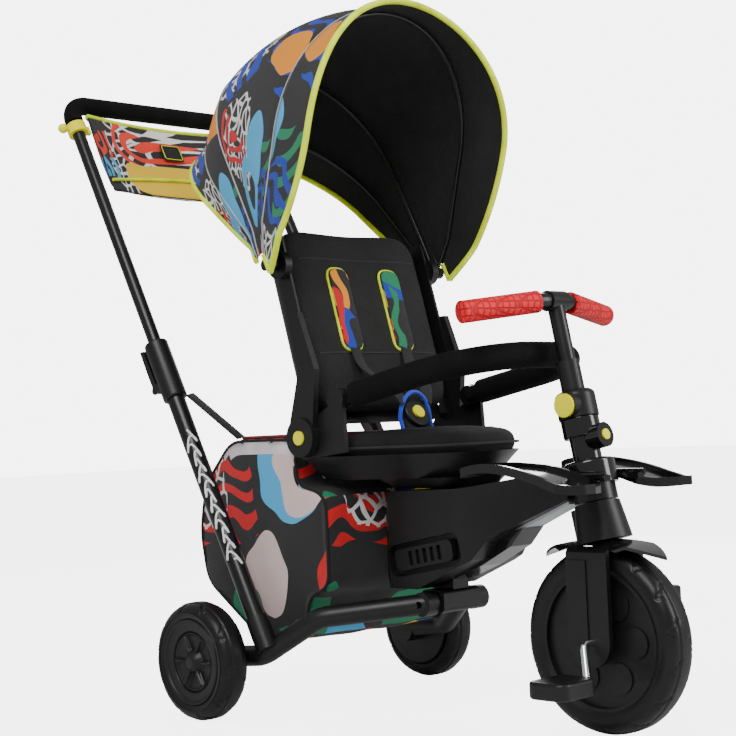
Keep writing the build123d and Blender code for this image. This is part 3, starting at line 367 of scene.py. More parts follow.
def make_materials():
    """Every finish, by the record's slot or by a name of its own."""
    black = (0.006, 0.006, 0.0065)
    made = {
        "tyre": moulded("tyre", (0.005, 0.005, 0.0055), 0.36, 0.0002, 420, Specular_IOR_Level=0.3),
        "wheel_plastic": moulded("wheel_plastic", (0.006, 0.006, 0.0065), 0.42, Specular_IOR_Level=0.35),
        "frame_black": moulded("frame_black", black, 0.38, Specular_IOR_Level=0.35),
        "steel_black": moulded(
            "steel_black", (0.005, 0.005, 0.0055), 0.30, 0.00005, 500, Specular_IOR_Level=0.4
        ),
        "gloss_black": moulded("gloss_black", (0.004, 0.004, 0.0045), 0.14, 0.00002, 200, Coat_Weight=0.3),
        "silver": moulded("silver", (0.52, 0.53, 0.55), 0.34, 0.00005, 500),
        "nylon": moulded("nylon", (0.012, 0.012, 0.012), 0.5),
        "coral_rubber": textured_rubber("coral_rubber", (0.86, 0.012, 0.022)),
        "yellow_plastic": moulded(
            "yellow_plastic", (0.80, 0.74, 0.0), 0.35, 0.00004, 500, Specular_IOR_Level=0.3
        ),
        "blue_cord": plain_fabric("blue_cord", (0.01, 0.05, 0.60), 0.0016),
        "chrome": brushed("chrome", (0.88, 0.89, 0.90), 0.10),
        "zinc": brushed("zinc", (0.05, 0.05, 0.055), 0.35),
        "foam": foam("foam"),
        "black_fabric": plain_fabric("black_fabric", (0.003, 0.003, 0.0035), sheen=0.03),
        "webbing": plain_fabric("webbing", (0.006, 0.006, 0.0065), 0.0030, 0.05, 0.8),
        "grey_fabric": plain_fabric("grey_fabric", (0.014, 0.014, 0.016), sheen=0.06),
        "piping": plain_fabric("piping", (0.70, 0.86, 0.01), 0.0014, sheen=0.0),
        "lilac_fabric": plain_fabric("lilac_fabric", (0.56, 0.50, 0.54)),
        "dark_red_trim": plain_fabric("dark_red_trim", (0.16, 0.006, 0.01)),
        "seam": plain_fabric("seam", (0.42, 0.40, 0.40), 0.0010),
        "white_ink": moulded("white_ink", (0.80, 0.80, 0.79), 0.45),
        "floor": backdrop("floor"),
    }
    for name, shift in (("canopy", 0.0), ("bag", 5.3), ("pouch", 9.1), ("pad", 12.7)):
        made["print_" + name] = print_fabric("print_" + name, shift)
    return made


def paint(piece, *names):
    piece.data.materials.clear()
    for name in names:
        piece.data.materials.append(finish[name])


# ------------------------------------------------------------------ making meshes
def made(name, points, faces, uvs=None, smooth=True):
    """A mesh object; uvs holds one (u, v) for each point, or one list for each face."""
    mesh = bpy.data.meshes.new(name)
    mesh.from_pydata([tuple(p) for p in points], [], faces)
    if uvs:
        layer = mesh.uv_layers.new(name="cloth")
        for face in mesh.polygons:
            for k in face.loop_indices:
                layer.data[k].uv = uvs[mesh.loops[k].vertex_index]
    if smooth:
        mesh.shade_smooth()
    mesh.validate()
    piece = bpy.data.objects.new(name, mesh)
    bpy.context.scene.collection.objects.link(piece)
    return piece


def sheet_faces(rows, columns, close_rows=False, close_columns=False):
    faces = []
    for i in range(rows if close_rows else rows - 1):
        for j in range(columns if close_columns else columns - 1):
            a, b = i * columns, (i + 1) % rows * columns
            k = (j + 1) % columns
            faces.append((a + j, a + k, b + k, b + j))
    return faces


def surface(name, rows, columns, point, uv=None, close_rows=False, close_columns=False):
    """A sheet of points point(i, j), with i and j going from 0 to 1."""
    across = columns if close_columns else columns - 1
    down = rows if close_rows else rows - 1
    pairs = [(i / down, j / across) for i in range(rows) for j in range(columns)]
    points = [point(*p) for p in pairs]
    uvs = [uv(*p) for p in pairs] if uv else None
    return made(name, points, sheet_faces(rows, columns, close_rows, close_columns), uvs)


def modified(piece, kind, **settings):
    """Add a modifier and apply it."""
    modifier = piece.modifiers.new(kind.lower(), kind)
    for key, value in settings.items():
        setattr(modifier, key, value)
    graph = bpy.context.evaluated_depsgraph_get()
    mesh = bpy.data.meshes.new_from_object(piece.evaluated_get(graph))
    piece.modifiers.clear()
    piece.data = mesh
    return piece


def line(name, points, radius, body, material, closed=False):
    """A smooth round line through the air, such as a piping, seam or bar."""
    curve = bpy.data.curves.new(name, "CURVE")
    curve.dimensions = "3D"
    spline = curve.splines.new("NURBS")
    spline.points.add(len(points) - 1)
    for spot, point in zip(spline.points, points):
        spot.co = (*point, 1)
    spline.order_u = 3
    spline.use_endpoint_u = not closed
    spline.use_cyclic_u = closed
    curve.bevel_depth = radius
    curve.bevel_resolution = 4
    curve.resolution_u = 6
    curve.use_fill_caps = True
    piece = bpy.data.objects.new(name, curve)
    bpy.context.scene.collection.objects.link(piece)
    curve.materials.append(finish[material])
    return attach(piece, body)


def spun(name, outline, segments, place, shift=None):
    """A wheel-like shape: an outline of (across, radius) points spun round an axis along X."""
    count = len(outline)

    def point(i, j):
        x, r = outline[round(j * (count - 1))]
        angle = 2 * pi * i
        if shift:
            x, r = shift(x, r, angle)
        return Vector((x, r * cos(angle), r * sin(angle))) + Vector(place)

    return surface(name, segments, count, point, close_rows=True)


def fine(outline, step):
    """The same outline with points no further apart than this."""
    result = []
    for (x0, r0), (x1, r1) in zip(outline, outline[1:]):
        parts = max(1, round(hypot(x1 - x0, r1 - r0) / step))
        result += [(x0 + (x1 - x0) * k / parts, r0 + (r1 - r0) * k / parts) for k in range(parts)]
    return result + [outline[-1]]


def ease(value):
    value = min(1.0, max(0.0, value))
    return value * value * (3 - 2 * value)


def between(a, b, share):
    return a + (b - a) * share


def puffed(piece, voxel, cap, pressure=4.0):
    """Remesh a closed shape, swell it as cloth by no more than cap, and subdivide it once."""
    modified(piece, "REMESH", mode="VOXEL", voxel_size=voxel)
    rest = [v.co.copy() for v in piece.data.vertices]
    cloth = piece.modifiers.new("cloth", "CLOTH")
    cloth.settings.use_pressure = True
    cloth.settings.uniform_pressure_force = pressure
    cloth.settings.effector_weights.gravity = 0
    cloth.settings.quality = 4
    cloth.settings.tension_stiffness = 20
    cloth.settings.compression_stiffness = 20
    for step in range(1, 21):
        bpy.context.scene.frame_set(step)
    graph = bpy.context.evaluated_depsgraph_get()
    swollen = bpy.data.meshes.new_from_object(piece.evaluated_get(graph))
    piece.modifiers.clear()
    piece.data = swollen
    for vertex, start in zip(piece.data.vertices, rest):
        move = vertex.co - start
        if move.length > cap:
            vertex.co = start + move * (cap / move.length)
    bpy.context.scene.frame_set(1)
    modified(piece, "SMOOTH", factor=0.5, iterations=4)
    modified(piece, "SUBSURF", levels=1)
    piece.data.shade_smooth()
    return piece


def placed(piece, body, slot, material, *hidden):
    """Paint a piece, fix it to its body and let it stand for CAD nodes."""
    paint(piece, material)
    if hidden:
        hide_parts(*hidden)
    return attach(piece, body)


def rounded(outline, radius, steps=5):
    """A flat outline with its corners rounded."""
    result = []
    count = len(outline)
    for k in range(count):
        here = Vector(outline[k])
        before = (Vector(outline[k - 1]) - here)
        after = (Vector(outline[(k + 1) % count]) - here)
        reach = min(radius, before.length * 0.45, after.length * 0.45)
        start, end = here + before.normalized() * reach, here + after.normalized() * reach
        for step in range(steps + 1):
            t = step / steps
            result.append(start * (1 - t) ** 2 + here * 2 * t * (1 - t) + end * t ** 2)
    return result


def dense(outline, step):
    """A closed outline with points no further apart than step."""
    result = []
    count = len(outline)
    for k in range(count):
        a, b = Vector(outline[k]), Vector(outline[(k + 1) % count])
        parts = max(1, round((b - a).length / step))
        result += [a.lerp(b, part / parts) for part in range(parts)]
    return result


def fix_normals(piece):
    shape = bmesh.new()
    shape.from_mesh(piece.data)
    bmesh.ops.recalc_face_normals(shape, faces=shape.faces)
    shape.to_mesh(piece.data)
    shape.free()


def on_surface(piece, start, direction):
    """Where a line from start first meets the piece."""
    found = piece.ray_cast(start, direction)
    return found[1] if found[0] else start


def box_uvs(piece, scale=1.0):
    """Lay the cloth's print on a shape from the side that each face looks to, in metres."""
    mesh = piece.data
    layer = mesh.uv_layers.get("cloth") or mesh.uv_layers.new(name="cloth")
    for face in mesh.polygons:
        n = face.normal
        for k in face.loop_indices:
            p = mesh.vertices[mesh.loops[k].vertex_index].co
            if abs(n.x) >= max(abs(n.y), abs(n.z)):
                layer.data[k].uv = (p.y * scale, p.z * scale)
            elif abs(n.y) >= abs(n.z):
                layer.data[k].uv = (p.x * scale + 0.3, p.z * scale)
            else:
                layer.data[k].uv = (p.x * scale + 0.3, p.y * scale + 0.2)


# ------------------------------------------------------------------ wheels
def slash_depth(across, along, pitch):
    """How deep the tread is cut here: a slanted pair of slashes in every pitch."""
    side = 1 if across > 0 else -1
    local = (along + (0 if side > 0 else pitch / 2)) % pitch - pitch / 2
    near, far = 0.007, 0.0235
    reach = abs(across)
    if not near < reach < far:
        return 0.0
    share = (reach - near) / (far - near)
    slant = between(-0.010, 0.009, share)
    cut = ease(1 - abs(local - slant) / 0.0026)
    hook = ease(1 - abs(local - between(0.018, 0.009, share)) / 0.0022) if share > 0.55 else 0
    return 0.0028 * max(cut, hook)


def tyre(name, node, place, radius, rim, body):
    """A tyre with a slightly crowned, slashed tread and a rounded shoulder."""
    low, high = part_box(node)
    half = (high.x - low.x) / 2
    middle = (high.x + low.x) / 2
    shoulder = 0.015
    crown = 0.0018
    profile = [(-half + 0.004, rim - 0.001), (-half + 0.001, rim + 0.004), (-half, rim + 0.010)]
    for turn in range(0, 91, 15):
        across = shoulder * (1 - cos(radians(turn)))
        up = shoulder * (1 - sin(radians(turn)))
        profile.append((-half + across, radius - crown - up))
    profile += [(-half * 0.35, radius - 0.0003), (0, radius)]
    profile += [(-x, r) for x, r in reversed(profile[:-1])]
    profile = fine(profile, 0.0022)
    pitch = 2 * pi * radius / max(8, round(2 * pi * radius / 0.052))

    def tread(x, r, angle):
        depth = slash_depth(x, angle * radius, pitch) * ease((r - radius + 0.016) / 0.006)
        return x * (1 - depth / half * 0.3), r - depth

    piece = spun(name, profile, round(2 * pi * radius / 0.0026), (middle, *place), tread)
    return placed(piece, body, "tyre", "tyre", node)


def hub_dish(name, node, place, radius, facets, body, side):
    """A wheel disc with a raised rim, a groove, and flat facets that slope in to a round cap."""
    low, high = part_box(node)
    face = high.x if side > 0 else low.x
    back = low.x if side > 0 else high.x
    depth = abs(face - back)
    outline = [
        (0.0, 0.0), (0.0, 0.13), (0.002, 0.16), (0.004, 0.20), (0.011, 0.30), (0.009, 0.60), (0.006, 0.665),
        (0.009, 0.68), (0.009, 0.70), (0.005, 0.715), (0.004, 0.90), (0.001, 0.94), (0.0, 0.975),
        (0.003, 1.0), (depth, 1.0), (depth, 0.0),
    ]
    outline = fine([(x, r * radius) for x, r in outline], 0.002)
    step = 2 * pi / facets

    def dish(x, r, angle):
        share = r / radius
        inside = ease((share - 0.24) / 0.05) * ease((0.64 - share) / 0.03)
        local = abs((angle % step) / step - 0.5) * 2
        rib = ease((local - 0.78) / 0.12)
        if x < depth * 0.5:
            x -= inside * 0.0065 * rib
        return face - side * x, r

    piece = spun(name, outline, 144, (0, *place), dish)
    return placed(piece, body, "wheel_plastic", "wheel_plastic", node)


def wheels():
    tyre("front_tyre_tread", "front_tyre", (-0.398, 0.122), 0.122, 0.092, "front_wheel")
    for word, side in SIDES.items():
        place, body = (0.159, 0.085), f"rear_wheel_{word}"
        tyre(f"rear_tyre_tread_{word}", f"rear_tyre_{word}", place, 0.085, 0.062, body)
        hub_dish(f"rear_hub_dish_{word}", f"rear_hub_{word}", place, 0.062, 6, body, side)


# ------------------------------------------------------------------ canopy
KNEE = 0.045
# the cloth's edges: degrees behind the vertical, half-width at the foot and above the knee, height
FRONT_BOW = (-15, 0.187, 0.197, 0.388)
MIDDLE_BOW = (26, 0.187, 0.180, 0.373)
REAR_BOW = (42, 0.187, 0.174, 0.335)
FLAP_EDGE = (52, 0.187, 0.160, 0.352)
RIM = (0.186, 0.203, 0.389, 0.0)
FOOT = 0.016
CLOTH = 0.0022
CANOPY_COLUMNS = 161
SEAM_DIP = 0.0016            # how far the cloth is drawn in at a bow
SEAM_SHARPNESS = 22
PIPING_R = 0.0042
RIM_PIPING_R = 0.0046
SEAM_R, SEAM_OUT = 0.0011, 0.0008


def arch(base, side, height, low, share):
    """A point on an arch, share going by length from the right foot over the top to the left."""
    shoulder = height - side
    foot_length, leg_length = hypot(side - base, KNEE), shoulder - low - KNEE
    total = 2 * (foot_length + leg_length) + pi * side
    hand = -1 if share <= 0.5 else 1
    along = min(share, 1 - share) * total
    if along < foot_length:
        part = along / foot_length
        return hand * between(base, side, part), low + KNEE * part
    if along < foot_length + leg_length:
        return hand * side, low + KNEE + along - foot_length
    angle = (along - foot_length - leg_length) / side
    return hand * side * cos(angle), shoulder + side * sin(angle)


def canopy_point(lean, x, reach):
    angle = radians(lean)
    return Vector((x, PIVOT_Y + reach * sin(angle), PIVOT_Z + reach * cos(angle)))


def bow_point(first, second, part, share):
    """A point of the cloth between two bows, bulging outwards like the arc of a circle."""
    mixed = [between(a, b, part) for a, b in zip(first, second)]
    x, reach = arch(mixed[1], mixed[2], mixed[3], FOOT, share)
    lean = mixed[0]
    if first is REAR_BOW:
        lean += part * 16 * exp(-reach / 0.1)
    nearest = min(part, 1 - part)
    seam = SEAM_DIP * exp(-((nearest * SEAM_SHARPNESS) ** 2))
    return canopy_point(lean, x * (1 - seam * 3), reach - seam)


def rim_point(share):
    """The visor's front edge, which curves forward in the side view."""
    x, up = arch(*RIM, share)
    z = 0.638 + up
    middle_y, middle_z, radius = 0.3245, 0.9385, 0.4215
    return Vector((x, middle_y - sqrt(max(0, radius ** 2 - (z - middle_z) ** 2)), z))


def visor_point(part, share):
    start, end = rim_point(share), bow_point(FRONT_BOW, MIDDLE_BOW, 0, share)
    return start.lerp(end, part)


def thick_cloth(piece, outer, inner):
    """Give a sheet its thickness, one cloth outside and another inside."""
    centre = Vector((0, 0.10, 0.80))
    mesh = piece.data
    outward = sum(face.normal.dot(face.center - centre) for face in mesh.polygons)
    if outward < 0:
        mesh.flip_normals()
    paint(piece, outer, inner)
    modified(piece, "SOLIDIFY", thickness=CLOTH, offset=-1, material_offset=1, material_offset_rim=1)
    piece.data.shade_smooth()
    return piece


def canopy_sheet(name, rows, point, shift, length, hidden):
    """One panel of the canopy, printed outside and black inside, standing for a CAD node."""
    width = 0.98

    def flat(i, j):
        return (j * width + shift, i * length + shift)

    piece = surface(name, rows, CANOPY_COLUMNS, point, flat)
    thick_cloth(piece, "print_canopy", "black_fabric")
    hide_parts(hidden)
    return piece


def rear_point(part, share):
    if part <= 0.5:
        return bow_point(MIDDLE_BOW, REAR_BOW, part * 2, share)
    return bow_point(REAR_BOW, FLAP_EDGE, part * 2 - 1, share)


def shared_edge(point, part, out=0.0, count=81):
    """Points along an edge or a seam of the canopy, this far outside it."""
    result = []
    for k in range(count):
        spot = point(part, k / (count - 1))
        away = Vector((spot.x, 0, max(0, spot.z - 0.84)))
        result.append(spot + away.normalized() * out if away.length else spot)
    return result


def canopy():
    """Three panels that share their edges, the piping round them and the seams over the bows."""
    visor = canopy_sheet("canopy_visor_cloth", 12, visor_point, 0.0, 0.09, "canopy_visor")
    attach(visor, "canopy_front")

    def front_point(part, share):
        return bow_point(FRONT_BOW, MIDDLE_BOW, part, share)

    front = canopy_sheet("canopy_front_cloth", 37, front_point, 0.02, 0.26, "canopy_front_panel")
    canopy_point(-15, 0, 0.3)
    canopy_point(26, 0, 0.3)
    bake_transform(front)
    rear = canopy_sheet("canopy_rear_cloth", 33, rear_point, 0.05, 0.17, "canopy_rear_panel")
    canopy_point(26, 0, 0.3)
    canopy_point(42, 0, 0.3)
    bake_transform(rear)
    line("canopy_rim_piping", shared_edge(visor_point, 0), RIM_PIPING_R, "canopy_front", "piping")
    line("canopy_flap_piping", shared_edge(rear_point, 1), PIPING_R, "backrest", "piping")
    seams = [
        ("front", front_point, 0, "canopy_front"),
        ("middle", front_point, 1, "canopy_middle"),
        ("rear", rear_point, 0.5, "backrest"),
    ]
    for name, point, part, body in seams:
        line(f"canopy_{name}_seam", shared_edge(point, part, SEAM_OUT), SEAM_R, body, "seam")
    for word, share in (("right", 0.0), ("left", 1.0)):
        foot = [visor_point(k / 6, share) for k in range(7)]
        line(f"canopy_foot_visor_{word}", foot, PIPING_R, "canopy_front", "piping")


# ------------------------------------------------------------------ cushions and straps
def pillow(name, outline, thickness, place, crown=0.5, edge=0.5, rings=9):
    """A closed cushion over a flat outline: a domed top, a soft edge and a flatter underside."""
    centre = sum((Vector(p) for p in outline), Vector((0, 0))) / len(outline)
    points = []
    count = len(outline)
    levels = []
    for k in range(rings):
        angle = between(-pi / 2, pi / 2, k / (rings - 1))
        levels.append((1 - edge * 0.16 * (1 - cos(angle)), sin(angle) * 0.5))
    for inner in (0.93, 0.84, 0.7, 0.5, 0.28):
        levels.append((inner * (1 - edge * 0.16), 0.5 + crown * (1 - inner ** 2) * 0.5))
    under = [(inner * (1 - edge * 0.16), -0.5) for inner in (0.3, 0.6, 0.85)]
    levels = under + levels
    for share, height in levels:
        for p in outline:
            spot = centre + (Vector(p) - centre) * share
            points.append(place(spot.x, spot.y, height * thickness))
    total = len(levels)
    faces = sheet_faces(total, count, close_columns=True)
    points.append(place(centre.x, centre.y, -0.5 * thickness))
    points.append(place(centre.x, centre.y, (0.5 + crown * 0.5) * thickness))
    for k in range(count):
        after = (k + 1) % count
        faces.append((k, total * count, after))
        faces.append(((total - 1) * count + k, (total - 1) * count + after, total * count + 1))
    piece = made(name, points, faces)
    fix_normals(piece)
    return modified(piece, "SUBSURF", levels=1)


def strap(name, points, widths, thickness, across, body=None, material="webbing"):
    """A flat strap through points, its width along the direction across."""
    corners = []
    count = len(points)
    for k, point in enumerate(points):
        ahead = points[min(count - 1, k + 1)] - points[max(0, k - 1)]
        side = Vector(across) - ahead * (Vector(across).dot(ahead) / ahead.length_squared)
        side.normalize()
        up = ahead.cross(side).normalized() * thickness / 2
        half = side * (widths[k] if hasattr(widths, "__len__") else widths) / 2
        for a, b in ((-1, -1), (1, -1), (1, 1), (-1, 1)):
            corners.append(point + half * a + up * b)
    faces = sheet_faces(count, 4, close_columns=True)
    faces += [(3, 2, 1, 0), tuple((count - 1) * 4 + k for k in range(4))]
    piece = made(name, corners, faces)
    fix_normals(piece)
    modified(piece, "BEVEL", width=thickness * 0.35, segments=2)
    paint(piece, material)
    if body:
        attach(piece, body)
    return piece


def smooth_path(points, steps=8):
    """More points along a rounded path through these."""
    result = []
    last = len(points) - 1
    for k in range(last):
        a, b, c, d = points[max(0, k - 1)], points[k], points[k + 1], points[min(last, k + 2)]
        for step in range(steps):
            t = step / steps
            result.append(0.5 * (2 * b + (c - a) * t + (2 * a - 5 * b + 4 * c - d) * t ** 2
                                 + (3 * b - a - 3 * c + d) * t ** 3))
    return result + [points[-1]]


SEAT_TOP = 0.372
SEAT_TAPER, SEAT_NOSE = 0.034, 0.088


def seat_outline(inset):
    """The seat's plan, drawn in by this much: its sides draw in towards a rounded nose."""
    half, rear, front = 0.140 - inset, 0.028 - inset, -0.227 + inset
    points = [(half, rear - 0.012), (half, -0.03)]
    narrow, start = half - SEAT_TAPER, front + SEAT_NOSE
    points += [(between(half, narrow, ease(k / 6)), between(-0.03, start, k / 6)) for k in range(1, 6)]
    for k in range(9):
        angle = pi / 2 * k / 8
        points.append((narrow * cos(angle), start - SEAT_NOSE * sin(angle)))
    left = [(-x, y) for x, y in reversed(points[:-1])]
    return points + left + [(-half + 0.012, rear), (half - 0.012, rear)]


def seat_cushion():
    """The padded seat with its piping and stitched line, and the crotch pad with its piping."""
    outline = [Vector(p) for p in seat_outline(0.004)]
    cushion = pillow(
        "seat_cushion_cover", outline, 0.030, lambda x, y, h: Vector((x, y, SEAT_TOP + 0.010 + h)), 0.5, 0.5
    )
    puffed(cushion, 0.006, 0.004)
    placed(cushion, "frame", "black_fabric", "black_fabric", "seat_cushion")
    seam = [Vector((x, y, SEAT_TOP + 0.0105)) for x, y in seat_outline(0.0035)]
    line("seat_cushion_piping", seam, 0.0017, "frame", "grey_fabric", closed=True)
    above = [Vector((x * 0.72, -0.09 + (y + 0.09) * 0.72, 0.6)) for x, y in seat_outline(0.004)]
    stitched = [on_surface(cushion, point, Vector((0, 0, -1))) for point in above]
    line("seat_cushion_stitching", stitched, 0.0008, "frame", "grey_fabric", closed=True)
    buckle = Vector((0, -0.070, 0.430))
    middle = buckle + Vector((0, 0.004, -0.020))
    lean = Matrix.Translation(middle) @ Matrix.Rotation(radians(60), 4, "X")
    outline = rounded([(-0.028, -0.040), (0.028, -0.040), (0.025, 0.022), (-0.025, 0.022)], 0.016)
    pad = pillow("crotch_pad", outline, 0.012, lambda x, y, h: lean @ Vector((x, y, h)), 0.3)
    placed(pad, "frame", "black_fabric", "black_fabric")
    arch_points = [buckle + Vector((0.028, -0.006, -0.048))]
    for k in range(13):
        angle = pi * k / 12
        arch_points.append(buckle + Vector((0.031 * cos(angle), 0.006, -0.012 + 0.042 * sin(angle))))
    arch_points.append(buckle + Vector((-0.028, -0.006, -0.048)))
    line("crotch_pad_piping", arch_points, 0.0032, "frame", "blue_cord")


def backrest_pad():
    """The padded back: one crowned cushion with two tufted seams."""
    half, low, high = 0.1405, 0.030, 0.314
    outline = rounded([(-half, low), (half, low), (half, high), (-half, high)], 0.045, 7)
    middle = -0.012
    cushion = pillow(
        "backrest_cushion", dense(outline, 0.01), 0.034,
        lambda x, y, h: BACKREST @ Vector((x, middle - h - 0.004 * ease(abs(x) / 0.12), y)), 0.45, 0.4,
    )
    puffed(cushion, 0.006, 0.003)
    placed(cushion, "backrest", "black_fabric", "black_fabric", "backrest_pad")
    behind = BACKREST.to_3x3() @ Vector((0, 1, 0))
    for name, up in (("low", 0.115), ("high", 0.262)):
        before = [BACKREST @ Vector((between(-0.118, 0.118, k / 16), -0.3, up)) for k in range(17)]
        points = [on_surface(cushion, point, behind) for point in before]
        line(f"backrest_seam_{name}", points, 0.0013, "backrest", "grey_fabric")


def harness():
    """Two printed shoulder pads with bound edges and the straps that run through them to the buckle."""
    for word, side in SIDES.items():
        outline = rounded([(-0.019, 0.118), (0.019, 0.118), (0.019, 0.246), (-0.019, 0.246)], 0.016, 6)
        outline = dense(outline, 0.006)
        centre = 0.053 * side

        def place(x, y, h, centre=centre):
            return BACKREST @ Vector((x + centre, -0.0405 - h, y))

        pad = pillow(f"shoulder_pad_cover_{word}", outline, 0.010, place, 0.35, 0.3)
        box_uvs(pad)
        hidden = ["shoulder_pads"] if word == "right" else []
        placed(pad, "backrest", "print_fabric", "print_pad", *hidden)
        bound = [place(p.x * 1.01, p.y, 0) for p in outline]
        line(f"shoulder_pad_binding_{word}", bound, 0.0022, "backrest", "piping", closed=True)
        top = [BACKREST @ Vector((centre, -0.034, 0.240)), BACKREST @ Vector((centre, -0.030, 0.262)),
               BACKREST @ Vector((centre, -0.018, 0.284))]
        strap(f"harness_top_{word}", top, 0.020, 0.0018, (1, 0, 0), "backrest")
        low = BACKREST @ Vector((centre, -0.044, 0.122))
        path = smooth_path([
            low, low + Vector((-0.004 * side, -0.012, -0.030)),
            Vector((0.036 * side, -0.052, 0.468)), Vector((0.022 * side, -0.066, 0.444)),
        ])
        webbing = strap(f"harness_strap_{word}", path, 0.020, 0.0018, (1, 0, 0.2 * side))
        if word == "right":
            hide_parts("harness_webbing")
        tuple(path[0])
        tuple(path[-1])
        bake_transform(webbing)


# ------------------------------------------------------------------ pouch and bag
POUCH_HALF, POUCH_FRONT = 0.166, -0.006
POUCH_LOW, POUCH_HIGH = 0.775, 0.929


def close_bottom(piece, count):
    """Fill the ring of a tube's first points with one face."""
    shape = bmesh.new()
    shape.from_mesh(piece.data)
    shape.verts.ensure_lookup_table()
    shape.faces.new([shape.verts[k] for k in range(count)])
    bmesh.ops.recalc_face_normals(shape, faces=shape.faces)
    shape.to_mesh(piece.data)
    shape.free()


def pouch():
    """The pouch that hangs between the poles: a sagging mouth and a rounded underside."""
    half, columns, around = POUCH_HALF, 96, 0.76
    deep, sag, rise = 0.034, 0.014, 0.006

    def shape(i, j):
        angle = 2 * pi * j
        c, s = cos(angle), sin(angle)
        x = half * (abs(c) ** 0.35) * (1 if c > 0 else -1)
        mouth = 1 - (x / half) ** 2
        top = POUCH_HIGH - sag * mouth
        floor = POUCH_LOW + rise * (x / half) ** 2
        belly = sin(pi * min(1, i * 1.05)) ** 0.7
        reach = deep * mouth ** 0.3 * (0.45 + 0.55 * belly) * ease(i / 0.12)
        if s > 0:
            behind = POUCH_FRONT + 0.003 + reach * min(1, sqrt(s) * 1.15)
        else:
            behind = POUCH_FRONT - 0.001 * belly
        return POLES @ Vector((x, behind, between(floor, top, i)))

    def flat(i, j):
        return (j * around, i * 0.16)

    piece = surface("pouch_cloth", 28, columns, shape, flat, close_columns=True)
    close_bottom(piece, columns)
    paint(piece, "print_pouch", "black_fabric")
    modified(piece, "SOLIDIFY", thickness=0.0018, offset=-1, material_offset=1)
    piece.data.shade_smooth()
    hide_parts("parent_pouch")
    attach(piece, "push_handle")
    rim = [shape(1, k / columns) for k in range(columns)]
    line("pouch_mouth_piping", rim, 0.0032, "push_handle", "piping", closed=True)
    lower = [POLES @ Vector((between(-half, half, k / 24), -0.0095, 0.799 + 0.010 * sin(pi * k / 24)))
             for k in range(25)]
    line("pouch_lower_piping", lower, 0.0026, "push_handle", "piping")
    patch = rounded([(-0.045, 0.848), (-0.003, 0.848), (-0.003, 0.880), (-0.045, 0.880)], 0.005, 4)
    label = pillow(
        "pouch_patch", dense(patch, 0.004), 0.0016, lambda x, y, h: POLES @ Vector((x, -0.0118 - h, y)), 0.1
    )
    placed(label, "push_handle", "black_fabric", "black_fabric")
    middle = Vector((-0.024, 0.864))
    inner = [middle + (p - middle) * 0.86 for p in patch]
    border = [POLES @ Vector((p.x, -0.0132, p.y)) for p in inner]
    line("pouch_patch_stitching", border, 0.0006, "push_handle", "piping", closed=True)


BAG_HALF = 0.1425
BAG_MOUTH = (0.052, 0.178)
BAG_SIDE = [
    (0.030, 0.112), (0.024, 0.170), (-0.022, 0.186), (-0.022, 0.320), (0.040, 0.334), (0.040, 0.402),
    (0.190, 0.402), (0.256, 0.335), (0.272, 0.262), (0.258, 0.186), (0.140, 0.106),
]
BAG_BAND = 0.374            # the pale band begins at this height


def bag_shape():
    """The bag's closed outer skin: bulging side walls joined by a band round the profile."""
    outline = dense(rounded(BAG_SIDE, 0.024, 6), 0.005)
    centre = sum(outline, Vector((0, 0))) / len(outline)
    levels = [(-1, k / 12) for k in range(1, 12)] + [(0, k / 36) for k in range(37)]
    levels += [(1, k / 12) for k in range(11, 0, -1)]
    points = []
    for wall, step in levels:
        for p in outline:
            if wall:
                share = 1 - (1 - step) ** 1.3
                spot = centre + (p - centre) * share
                bulge = 0.006 * (1 - share ** 2) + 0.0012 * sin(40 * spot.x + 23 * spot.y)
                rim = 0.006 * ease((share - 0.93) / 0.07)
                points.append(Vector((wall * (BAG_HALF + bulge - rim * 0.4), *spot)))
            else:
                x = between(-BAG_HALF, BAG_HALF, step)
                bulge = sin(pi * step)
                crease = 0.0016 * sin(38 * p.x + 55 * x) * sin(44 * p.y - 20 * x) * bulge
                drawn_in = 0.006 * (1 - min(1, min(step, 1 - step) * 14)) ** 2
                away = (p - centre).normalized()
                spot = p + away * (0.004 * bulge - drawn_in + crease)
                spot.y = min(spot.y, 0.4035) if p.y > 0.395 else spot.y
                points.append(Vector((x, *spot)))
    faces = sheet_faces(len(levels), len(outline), close_columns=True)
    last = len(points) - len(outline)
    for wall, first in ((-1, 0), (1, last)):
        points.append(Vector((wall * (BAG_HALF + 0.006), *centre)))
        hub = len(points) - 1
        faces += [(first + k, hub, first + (k + 1) % len(outline)) for k in range(len(outline))]
    kept = []
    for face in faces:
        middle = sum((points[k] for k in face), Vector()) / len(face)
        in_mouth = BAG_MOUTH[0] < middle.y < BAG_MOUTH[1] and abs(middle.x) < BAG_HALF - 0.012
        if not (in_mouth and middle.z > 0.396):
            kept.append(face)
    return points, kept, outline


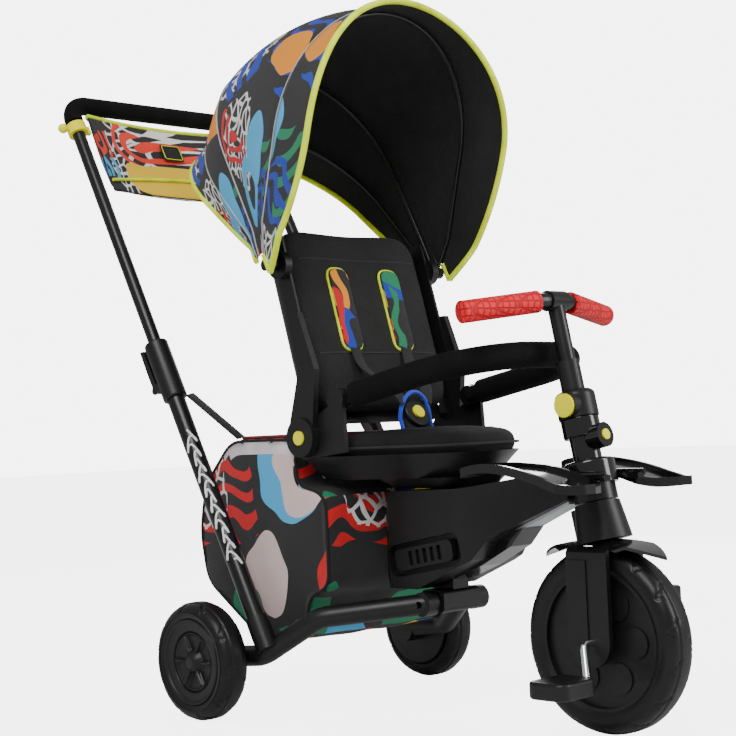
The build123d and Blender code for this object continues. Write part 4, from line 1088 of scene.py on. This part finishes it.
def bag():
    """The storage bag: soft cloth walls round an open mouth, with a pale band and bound edges."""
    points, faces, outline = bag_shape()
    piece = made("storage_bag_cloth", points, faces)
    fix_normals(piece)
    box_uvs(piece)
    paint(piece, "print_bag", "lilac_fabric", "black_fabric", "black_fabric")
    for face in piece.data.polygons:
        face.material_index = 1 if face.center.z > BAG_BAND and abs(face.normal.z) < 0.8 else 0
    modified(piece, "SOLIDIFY", thickness=CLOTH, offset=-1, material_offset=2)
    piece.data.shade_smooth()
    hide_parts("storage_bag")
    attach(piece, "frame")
    centre = sum(outline, Vector((0, 0))) / len(outline)
    for word, side in SIDES.items():
        edge = [Vector((side * (BAG_HALF - 0.0015), *(centre + (p - centre) * 0.972))) for p in outline]
        line(f"bag_edge_{word}", edge, 0.0023, "frame", "black_fabric", closed=True)
        top, low = POLES @ Vector((0.164 * side, 0, 0.404)), Vector((0.134 * side, 0.172, 0.4035))
        strap(f"bag_strap_{word}", [top, top.lerp(low, 0.5), low], 0.018, 0.002, (1, 0, 0), "frame")
    x, (front, rear), up = BAG_HALF - 0.012, BAG_MOUTH, 0.4035
    corners = [Vector((-x, front)), Vector((x, front)), Vector((x, rear)), Vector((-x, rear))]
    mouth = [Vector((*p, up)) for p in rounded(corners, 0.012, 4)]
    line("bag_mouth_binding", mouth, 0.0022, "frame", "dark_red_trim", closed=True)


# ------------------------------------------------------------------ the strokes on the pole
def pole_strokes():
    """A plain looping white line along the near pole, on the side that faces forward and out."""
    reach = 0.0136
    points = []
    for k in range(181):
        share = k / 180
        swing = sin(share * 17 * pi) * (0.75 + 0.3 * sin(share * 7 * pi))
        angle = radians(45 + 42 * swing)
        along = between(0.115, 0.330, share) + 0.008 * sin(share * 34 * pi + 1.2)
        points.append(POLES @ Vector((-POLE_X - reach * cos(angle), -reach * sin(angle), along)))
    line("pole_strokes", points, 0.0016, "frame", "white_ink")


# ------------------------------------------------------------------ the main run
camera()
floor = studio()
finish = make_materials()
paint(floor, "floor")
slots = {row["node"]: row["material_slot"] for row in frame["record"]["subparts"]}
for node, piece in nodes.items():
    if slots[node] in finish:
        paint(piece, slots[node])
    elif slots[node] == "print_fabric":
        paint(piece, "print_canopy")
wheels()
canopy()
pouch()
bag()
seat_cushion()
backrest_pad()
harness()
pole_strokes()
